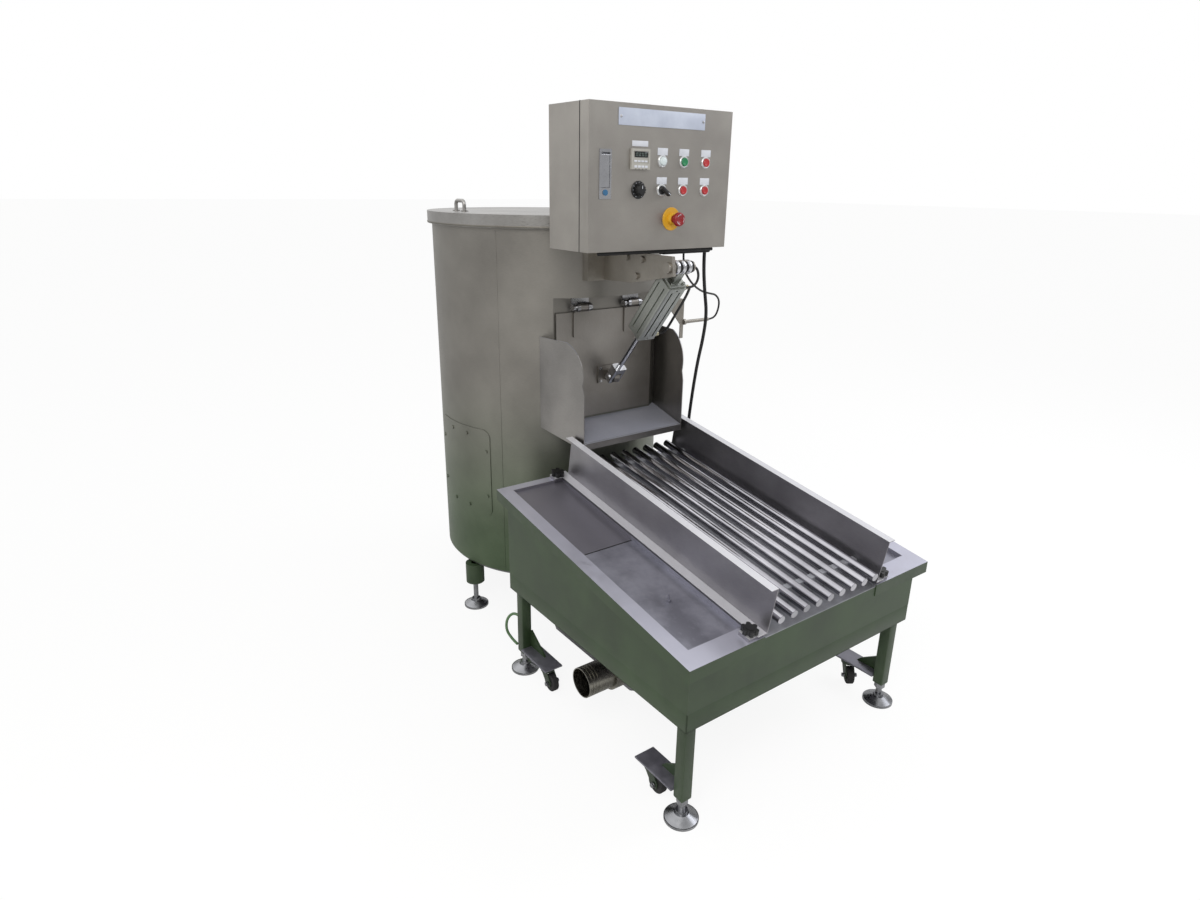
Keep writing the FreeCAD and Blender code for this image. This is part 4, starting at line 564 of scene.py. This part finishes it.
# The panel: 22 mm push buttons in bright bezels under blank legend plates, a timer with a dark
# window, a fluted knob, a lever selector and a mushroom stop button on a yellow disc. Moulded caps
# are even and glossy, engraving laminate is satin, and satin chrome hardly shows its grain.
COLUMNS = (-0.093, -0.018, 0.054, 0.130)
ROWS = (1.407, 1.338)
STOP = (0.019, 1.267)
LOOK_BACK = (0, -1, 0)
DEVICES = ((1, 0), (2, 0), (3, 0), (1, 1), (2, 1), (3, 1))
TITLE_X, TITLE_Z, TITLE_SCREW = -0.019, 1.5045, 0.133
WINDOW_X, WINDOW_Z = -0.090, 1.4205
DIGIT_X, DIGIT_STEP, DIGIT_HALF_W, DIGIT_HALF_H = -0.1035, 0.0088, 0.0019, 0.0034
KEY_X, KEY_STEP = -0.1075, 0.011
SELECTOR_TURN = radians(-125)
red_cap = satin_paint("red moulded polycarbonate", "#a8262a", "#b83236", rough=0.28, depth=0.0001)
green_cap = satin_paint("green moulded polycarbonate", "#1d7a4c", "#278455", rough=0.28, depth=0.0001)
lamp_cap = satin_paint("white diffusing lens", "#c9d4d6", "#dbe5e6", rough=0.25, depth=0.0001)
black_cap = satin_paint("black moulded nylon", "#101011", "#1b1b1c", rough=0.42)
yellow_disc = satin_paint("yellow printed aluminium disc", "#cf9a1c", "#d9a628", rough=0.45)
bezel_metal = brushed_steel("satin chromed bezel", "#cfd1d3", "#e0e2e4", grain=PLAIN, grain_mm=30.0,
                            rough=0.26, metal=0.6)
stop_red = satin_paint("deep red mushroom head", "#7d1219", "#8e1a20", rough=0.25, depth=0.0001)
title_stock = satin_paint("pale blue engraving laminate", "#b3bacb", "#c3cad9", rough=0.35, depth=0.0001)
label_stock = satin_paint("white engraving laminate", "#c9ccd4", "#d7dae1", rough=0.4, depth=0.0001)
dress(red_cap, "red_button_a", "red_button_b", "red_button_c")
dress(stop_red, "emergency_stop")
dress(green_cap, "green_button")
dress(lamp_cap, "pilot_lamp")
dress(black_cap, "timer_knob", "selector_switch")
dress(yellow_disc, "stop_disc")
timer_grey = satin_paint("warm grey moulded ABS", "#a5a39c", "#b2b0a9", rough=0.45)
dress(timer_grey, "timer")


def panel_place(x, z, proud=0.0):
    return facing((MIDDLE + x, BOX_FRONT - proud, z), LOOK_BACK)


def bezels():
    bm = bmesh.new()
    for x, z in DEVICES:
        lathe(bm, [(0.0101, -0.001), (0.0101, 0.0034), (0.0112, 0.0042), (0.0132, 0.0042), (0.0146, 0.0030),
                   (0.0150, 0.0012), (0.0150, 0.0), (0.0101, -0.001)], panel_place(COLUMNS[x], ROWS[z]), 40)
    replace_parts(finish_piece("bezels", bm, bezel_metal, "box_door"), "panel_trim")


def legends():
    bm = bmesh.new()
    for x, z in DEVICES:
        block(bm, (0.033, 0.017, 0.0012), panel_place(COLUMNS[x], ROWS[z] + 0.0225, 0.0006), 0.0004)
    block(bm, (0.050, 0.013, 0.0012), panel_place(-0.091, 1.4455, 0.0006), 0.0004)
    finish_piece("legend_plates", bm, label_stock, "box_door")
    bm = bmesh.new()
    block(bm, (0.280, 0.039, 0.0016), panel_place(TITLE_X, TITLE_Z, 0.0008), 0.0006)
    finish_piece("title_plate", bm, title_stock, "box_door")


def plate_screws():
    bm = bmesh.new()
    for x in (TITLE_X - TITLE_SCREW, TITLE_X + TITLE_SCREW):
        lathe(bm, [(0, 0.0016), (0.0034, 0.0016), (0.0034, 0.0024), (0.0022, 0.0034), (0, 0.0036)],
              panel_place(x, TITLE_Z), 20)
    finish_piece("plate_screws", bm, lug_steel, "box_door")


def timer_face():
    bm = bmesh.new()
    block(bm, (0.042, 0.0130, 0.0010), panel_place(WINDOW_X, WINDOW_Z, 0.0052), 0.0003)
    finish_piece("timer_window", bm, satin_paint("smoked display window", "#15191a", "#1d2223", rough=0.15),
                 "box_door")
    bm = bmesh.new()
    for digit in range(4):
        x = DIGIT_X + DIGIT_STEP * digit
        for way in (-1, 1):
            for up in (-0.5, 0.5):
                place = panel_place(x + way * DIGIT_HALF_W, WINDOW_Z + up * DIGIT_HALF_H, 0.0059)
                block(bm, (0.0006, 0.0028, 0.0004), place)
            block(bm, (0.0028, 0.0006, 0.0004), panel_place(x, WINDOW_Z + way * DIGIT_HALF_H, 0.0059))
    finish_piece("timer_digits", bm, satin_paint("grey display segment", "#7d8c84", "#8a9a91", rough=0.4),
                 "box_door")
    bm = bmesh.new()
    dark = bmesh.new()
    for k in range(4):
        x = KEY_X + KEY_STEP * k
        block(bm, (0.0085, 0.0052, 0.0014), panel_place(x, 1.3925, 0.0062), 0.0005)
        block(bm, (0.0085, 0.0040, 0.0014), panel_place(x, 1.4050, 0.0050), 0.0005)
        block(dark, (0.0045, 0.0010, 0.0004), panel_place(x, 1.3868, 0.0061))
    finish_piece("timer_keys", bm, label_stock, "box_door")
    finish_piece("timer_key_marks", dark, gland_nylon, "box_door")


def timer_knob():
    place = panel_place(COLUMNS[0], ROWS[1])
    bm = bmesh.new()
    lathe(bm, [(0.0061, 0.0), (0.0061, 0.0030), (0.0205, 0.0030), (0.0215, 0.0020), (0.0215, 0.0),
               (0.0061, 0.0)], place, 56)
    finish_piece("knob_base_disc", bm, black_cap, "box_door")
    bm = bmesh.new()
    lathe(bm, [(0, 0.0033), (0.0140, 0.0033), (0.0136, 0.0060), (0.0122, 0.0150), (0.0108, 0.0168),
               (0, 0.0172)], place, 48)
    for k in range(12):
        flute = place @ Matrix.Rotation(radians(30 * k), 4, "Z") @ Matrix.Translation((0, 0.0128, 0.0095))
        block(bm, (0.0034, 0.0022, 0.0110), flute, 0.0008)
    knob = finish_piece("potentiometer_knob", bm, black_cap, "timer_knob")
    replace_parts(knob, "timer_knob")


def selector_lever():
    place = panel_place(COLUMNS[1], ROWS[1])
    bm = bmesh.new()
    lathe(bm, [(0, -0.004), (0.0099, -0.004), (0.0099, 0.0062), (0.0088, 0.0074), (0, 0.0076)], place, 40)
    turned = place @ Matrix.Rotation(SELECTOR_TURN, 4, "Z")
    block(bm, (0.0100, 0.0320, 0.0125), turned @ Matrix.Translation((0, 0.0050, 0.0137)), 0.0032)
    lever = finish_piece("selector_lever", bm, black_cap, "selector")
    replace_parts(lever, "selector_switch")
    bm = bmesh.new()
    block(bm, (0.0016, 0.0080, 0.0005), turned @ Matrix.Translation((0, 0.0150, 0.0201)))
    finish_piece("selector_mark", bm, label_stock, "selector")


def knob_marks():
    bm = bmesh.new()
    block(bm, (0.0012, 0.0075, 0.0005), panel_place(COLUMNS[0], ROWS[1] + 0.0062, 0.01735))
    finish_piece("knob_mark", bm, label_stock, "timer_knob")
    bm = bmesh.new()
    for k in range(11):
        place = panel_place(COLUMNS[0], ROWS[1]) @ Matrix.Rotation(radians(-150 + 30 * k), 4, "Z")
        block(bm, (0.0007, 0.0024, 0.0004), place @ Matrix.Translation((0, 0.0184, 0.0031)))
    finish_piece("knob_scale", bm, label_stock, "box_door")


def button_caps():
    for body, column, row, paint, slot in (("green_button", 2, 0, green_cap, "green_plastic"),
                                           ("red_button_a", 3, 0, red_cap, "red_plastic"),
                                           ("red_button_b", 2, 1, red_cap, "red_plastic"),
                                           ("red_button_c", 3, 1, red_cap, "red_plastic")):
        bm = bmesh.new()
        lathe(bm, [(0, -0.006), (0.0099, -0.006), (0.0099, 0.0062), (0.0090, 0.0072), (0.0075, 0.0072),
                   (0.0060, 0.0066), (0, 0.0064)], panel_place(COLUMNS[column], ROWS[row]), 40)
        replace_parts(finish_piece(body + "_cap", bm, paint, body), body)
    bm = bmesh.new()
    lathe(bm, [(0, -0.006), (0.0099, -0.006), (0.0099, 0.0062), (0.0090, 0.0078), (0.0060, 0.0090),
               (0, 0.0094)], panel_place(COLUMNS[1], ROWS[0]), 40)
    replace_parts(finish_piece("lamp_lens", bm, lamp_cap, "box_door"), "pilot_lamp")


def stop_button():
    bm = bmesh.new()
    lathe(bm, [(0, -0.004), (0.0098, -0.004), (0.0098, 0.0255), (0.0165, 0.0265), (0.0176, 0.0280),
               (0.0176, 0.0335), (0.0160, 0.0368), (0.0140, 0.0380), (0.0094, 0.0376), (0.0082, 0.0366),
               (0, 0.0362)], panel_place(*STOP), 56)
    head = finish_piece("stop_mushroom", bm, stop_red, "emergency_stop")
    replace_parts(head, "emergency_stop")
    bm = bmesh.new()
    for k in range(3):
        for j in range(5):
            place = panel_place(*STOP) @ Matrix.Rotation(radians(120 * k + 12 * j), 4, "Z")
            block(bm, (0.0028, 0.0013, 0.0004), place @ Matrix.Translation((0, 0.0118, 0.0380)))
    finish_piece("stop_marks", bm, label_stock, "emergency_stop")
    bm = bmesh.new()
    lathe(bm, [(0.0105, 0.0), (0.0105, 0.0026), (0.0282, 0.0026), (0.0290, 0.0018), (0.0290, 0.0),
               (0.0105, 0.0)], panel_place(*STOP), 64)
    lathe(bm, [(0.0102, 0.0024), (0.0102, 0.0130), (0.0130, 0.0130), (0.0150, 0.0100), (0.0150, 0.0024)],
          panel_place(*STOP), 40)
    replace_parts(finish_piece("stop_yellow_disc", bm, yellow_disc, "box_door"), "stop_disc")


bezels()
legends()
plate_screws()
timer_face()
timer_knob()
selector_lever()
knob_marks()
button_caps()
stop_button()

# The cables: a black rubber control cable from the box down to the table's gland, a thin sensor
# lead from the box to the door sensor, and a green PVC earth lead looped at the rear left leg.
# Rubber sheaths are dull and nearly black, PVC is a little glossier.
black_rubber_cable = satin_paint("black rubber cable sheath", "#101010", "#1a1a1a", rough=0.5)
earth_sheath = satin_paint("green PVC sheath", "#4d6b47", "#5d7c55", rough=0.45)
MM = 0.001


def cable(name, node, points, radius, sheath):
    placed = [Vector(p) * MM + Vector((MIDDLE, 0, 0)) for p in points]
    line = tube_curve(name, placed, radius, sheath, "frame")
    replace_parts(line, node)


cable("control_cable_sheath", "control_cable", [
    (206, -86.53, 1176), (206, -86.53, 1132), (223, -78.53, 1062), (249, -66, 990), (256, -50, 915),
    (252, -36, 840), (254, -22, 765), (265, -2, 697), (276, 16.97, 626), (276, 16.97, 563.2)],
    0.005, black_rubber_cable)
cable("sensor_cable_sheath", "sensor_cable", [
    (150, -60.53, 1176), (150, -60.53, 1128), (196, -46.53, 1082), (262, -22, 1050), (325, 4, 1036),
    (372, 26, 1027), (406, 42, 1004), (411, 51, 970), (396, 52.97, 946), (370, 52.97, 946)],
    0.003, black_rubber_cable)
cable("earth_lead_sheath", "earth_lead", [
    (-393, -32.53, 160), (-393, -2, 160), (-408, 18, 136), (-413, 18, 98), (-404, -2, 72),
    (-404, -32.53, 72)],
    0.004, earth_sheath)

# The table: welded base with folded stainless rim, shallow trays each side of the rod channel, and a
# funnel under it. The rim's top is bright, and the green of the base and the rim's apron is a painted
# reflection of a green floor. The trays are dulled and stained by use, and behind their step they are
# painted an even darker tone as painted shade. The table falls toward the front by TABLE_FALL in one.
RIM_FRONT_Z, TABLE_FALL, TABLE_FRONT_Y = 0.419, 0.1565, -0.77653
TRAY_STEP_Y, TRAY_STEP_DROP, TRAY_X = -0.32653, 0.0120, 0.302
# The rim's walls are painted green, a painted reflection of a green floor; its up-facing top gets the
# steel's bright colour.
rim_sheet = brushed_steel("bright folded stainless rim", "#2b3b24", "#35462d", grain=PLAIN,
                          grain_mm=30.0, rough=0.36, metal=0.1)
painted_light_by_slope(rim_sheet, "#b2b2c0", "#c4c4d2", 0.6, 0.85, 0.6, 160.0)
dress(rim_sheet, "table_rim")
dress(painted_floor_green, "skirt_panels")


def stained_tray_with_step_shade():
    made, tree, shader = start_material("water stained stainless tray, painted shade behind step")
    cloud = blotches(tree, 140.0, 5.0, 0.6)
    spots = blotches(tree, 14.0, 6.0, 0.75)
    wide = add(tree, "ShaderNodeMapRange", Value=cloud, From_Min=0.4, From_Max=0.62)
    fine = add(tree, "ShaderNodeMapRange", Value=spots, From_Min=0.55, From_Max=0.75, To_Max=0.35)
    tone = add(tree, "ShaderNodeMix", {"data_type": "RGBA"}, in0=wide.outputs[0], in6=linear("#7b7b86"),
               in7=linear("#9c9ca8"))
    dusty = add(tree, "ShaderNodeMix", {"data_type": "RGBA"}, in0=fine.outputs[0], in6=tone.outputs[2],
                in7=linear("#a9a9b4"))
    # Behind the step the tray is painted one even darker tone, painted shade of the rear floor, which slopes
    # otherwise than the front.
    place = add(tree, "ShaderNodeTexCoord")
    split = add(tree, "ShaderNodeSeparateXYZ", Vector=place.outputs["Object"])
    rear = add(tree, "ShaderNodeMapRange", Value=split.outputs["Y"], From_Min=TRAY_STEP_Y,
               From_Max=TRAY_STEP_Y + 0.003)
    flat = add(tree, "ShaderNodeMix", {"data_type": "RGBA"}, in0=rear.outputs[0], in6=dusty.outputs[2],
               in7=linear("#7d7b84"))
    tree.links.new(flat.outputs[2], shader.inputs["Base Color"])
    shader.inputs["Metallic"].default_value = 0.55
    wear = add(tree, "ShaderNodeMapRange", Value=cloud, To_Min=0.22, To_Max=0.5)
    tree.links.new(wear.outputs[0], shader.inputs["Roughness"])
    return made


dress(stained_tray_with_step_shade(), "trays")
# The channel's sheet is one even brushed tone, like the chute's.
channel_sheet = brushed_steel("brushed stainless sheet, channel", "#85868c", "#a2a3a9", rough=0.4, metal=0.5)
dress(channel_sheet, "rod_channel")


def rim_height(y):
    return RIM_FRONT_Z + TABLE_FALL * (y - TABLE_FRONT_Y)


def tray_joints():
    bm = bmesh.new()
    height = rim_height(TRAY_STEP_Y) - TRAY_STEP_DROP
    for x in (-TRAY_X, TRAY_X):
        block_at(bm, (0.158, 0.0026, 0.0012), (MIDDLE + x, TRAY_STEP_Y, height), 0.0004)
    finish_piece("tray_joints", bm, seal_rubber, "frame")


tray_joints()

# The table's frame: mitred rolled angles, square tube legs and bare steel castor plates on green
# gussets. The photographed legs are slimmer than a 50 mm tube, so they are drawn 30 mm square.
dress(painted_floor_green, "table_frame")
RAIL_LOW, RAIL_TALL, RAIL_WIDE, RAIL_T = 0.262, 0.047, 0.020, 0.003
BODY_LEFT, BODY_RIGHT, BODY_FRONT, BODY_REAR = -0.421, 0.365, -0.77453, -0.02953
LEG, LEG_INSET, LEG_LOW = 0.030, 0.013, 0.059
RIM_TO_LEG = 0.040
PLATE_LOW, PLATE_T, PLATE_W, PLATE_LEN = 0.0735, 0.005, 0.058, 0.131
PLATE_SHIFT_LEFT, PLATE_SHIFT_RIGHT, KING_INSET, KING_DROP = 0.007, 0.009, 0.033, 0.020
GUSSET_X, GUSSET_T, GUSSET_LONG, GUSSET_TALL = 0.012, 0.006, 0.072, 0.052
bare_plate = brushed_steel("bare hot rolled plate", "#6e6d76", "#8d8c96", grain=PLAIN, grain_mm=18.0,
                           rough=0.42, metal=0.7)


def gusset(bm, outline, x0, x1):
    part = bmesh.new()
    for y, z in outline:
        for x in (x0, x1):
            part.verts.new((x, y, z))
    bmesh.ops.convex_hull(part, input=part.verts[:])
    join(bm, part, Matrix.Identity(4))


def table_frame():
    bm = bmesh.new()
    plates = bmesh.new()
    mid_x, mid_y = MIDDLE + (BODY_LEFT + BODY_RIGHT) / 2, (BODY_FRONT + BODY_REAR) / 2
    wide, deep = BODY_RIGHT - BODY_LEFT, BODY_REAR - BODY_FRONT
    web_z, shelf_z = RAIL_LOW + RAIL_TALL / 2, RAIL_LOW + RAIL_T / 2
    for sign in (-1, 1):
        web = mid_x + sign * (wide - RAIL_T) / 2
        block_at(bm, (RAIL_T, deep, RAIL_TALL), (web, mid_y, web_z), 0.001)
        shelf = mid_x + sign * (wide - RAIL_WIDE) / 2
        block_at(bm, (RAIL_WIDE, deep, RAIL_T), (shelf, mid_y, shelf_z), 0.001)
        web = mid_y + sign * (deep - RAIL_T) / 2
        block_at(bm, (wide, RAIL_T, RAIL_TALL), (mid_x, web, web_z), 0.001)
        shelf = mid_y + sign * (deep - RAIL_WIDE) / 2
        block_at(bm, (wide, RAIL_WIDE, RAIL_T), (mid_x, shelf, shelf_z), 0.001)
    for left in (True, False):
        x = MIDDLE + (BODY_LEFT + LEG_INSET + LEG / 2 if left else BODY_RIGHT - LEG_INSET - LEG / 2)
        for front in (True, False):
            y = BODY_FRONT + LEG_INSET + LEG / 2 if front else BODY_REAR - LEG_INSET - LEG / 2
            top = rim_height(y) - RIM_TO_LEG
            block_at(bm, (LEG, LEG, top - LEG_LOW), (x, y, (top + LEG_LOW) / 2), 0.003)
            way = 1 if front else -1
            face = y + way * LEG / 2
            cx = x + (PLATE_SHIFT_LEFT if left else PLATE_SHIFT_RIGHT)
            block_at(plates, (PLATE_W, PLATE_LEN, PLATE_T),
                     (cx, face + way * PLATE_LEN / 2, PLATE_LOW + PLATE_T / 2), 0.0018)
            king = Matrix.Translation((cx, face + way * (PLATE_LEN - KING_INSET), PLATE_LOW - KING_DROP))
            lathe(plates, [(0, 0), (0.009, 0), (0.009, 0.003), (0.006, 0.003), (0.006, 0.021)], king, 24)
            base = PLATE_LOW + PLATE_T
            tip = face + way * GUSSET_LONG
            outline = [(face, base), (tip, base), (tip - way * 0.012, base + 0.012),
                       (face, base + GUSSET_TALL)]
            gusset(bm, outline, x + GUSSET_X, x + GUSSET_X + GUSSET_T)
    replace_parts(finish_piece("frame_and_legs", bm, painted_floor_green, "frame"), "table_frame")
    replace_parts(finish_piece("castor_plates", plates, bare_plate, "frame"), "table_frame")


table_frame()
dress(inner_sheet, "drain_hopper")
pipe_steel = brushed_steel("dull stainless pipe", "#6f6d66", "#a19e95", grain=(14, 1, 1), grain_mm=14.0,
                           rough=0.28)
dress(pipe_steel, "drain_pipe")

# The rods and guides: polished round bars welded into notched racks, between two folded sheet
# guides. Each guide clamps to the rim with two black star knobs on threaded studs.
polished_bar = brushed_steel("polished stainless bar", "#95949a", "#c4c3c9", grain=PLAIN, grain_mm=60.0,
                             rough=0.12)
guide_sheet = brushed_steel("brushed stainless sheet, guide", "#848286", "#a3a1a5", grain=(1, 1, 12),
                            rough=0.38)
dress(polished_bar, "rods")
# The guides' up-facing flanges are painted near white: a painted highlight.
painted_light_by_slope(guide_sheet, "#d2d2d8", "#dedee2", 0.6, 0.85, 0.35)
dress(guide_sheet, "guides")
dress(black_cap, "star_knobs")

# The feet and castors: bright plated levelling feet on threaded stems, and small castors with
# green forks and black rubber tyres under the legs' plates. WHEEL_AXES has their axles' directions.
WHEEL_AXES = {"rear_left": (1, 0, 0), "front_left": (1, 0, 0), "front_right": (0.80902, -0.58779, 0),
              "rear_right": (1, 0, 0)}
plated_foot = brushed_steel("bright zinc plated steel", "#76777a", "#a4a5a8", grain=PLAIN, grain_mm=20.0,
                            rough=0.28)
# The forks' green is a painted reflection of a green floor.
fork_painted_green = satin_paint("green castor enamel", "#2c3829", "#3a4737", rough=0.42)
tyre_rubber = satin_paint("black solid rubber tyre", "#151515", "#242424", rough=0.7)
dress(plated_foot, "levelling_feet")
for corner in WHEEL_AXES:
    dress(fork_painted_green, "castor_fork_" + corner)
    dress(tyre_rubber, "castor_wheel_" + corner)


def axle_nuts(corner, axis):
    low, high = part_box("castor_wheel_" + corner)
    hub = (Vector(low) + Vector(high)) / 2
    bm = bmesh.new()
    for way in (-1, 1):
        hex_bolt(bm, hub + axis * way * 0.0150, axis * way, 0.011, 0.005)
    finish_piece("axle_nuts_" + corner, bm, plated_foot, "castor_" + corner)


for corner, along in WHEEL_AXES.items():
    axle_nuts(corner, Vector(along).normalized())
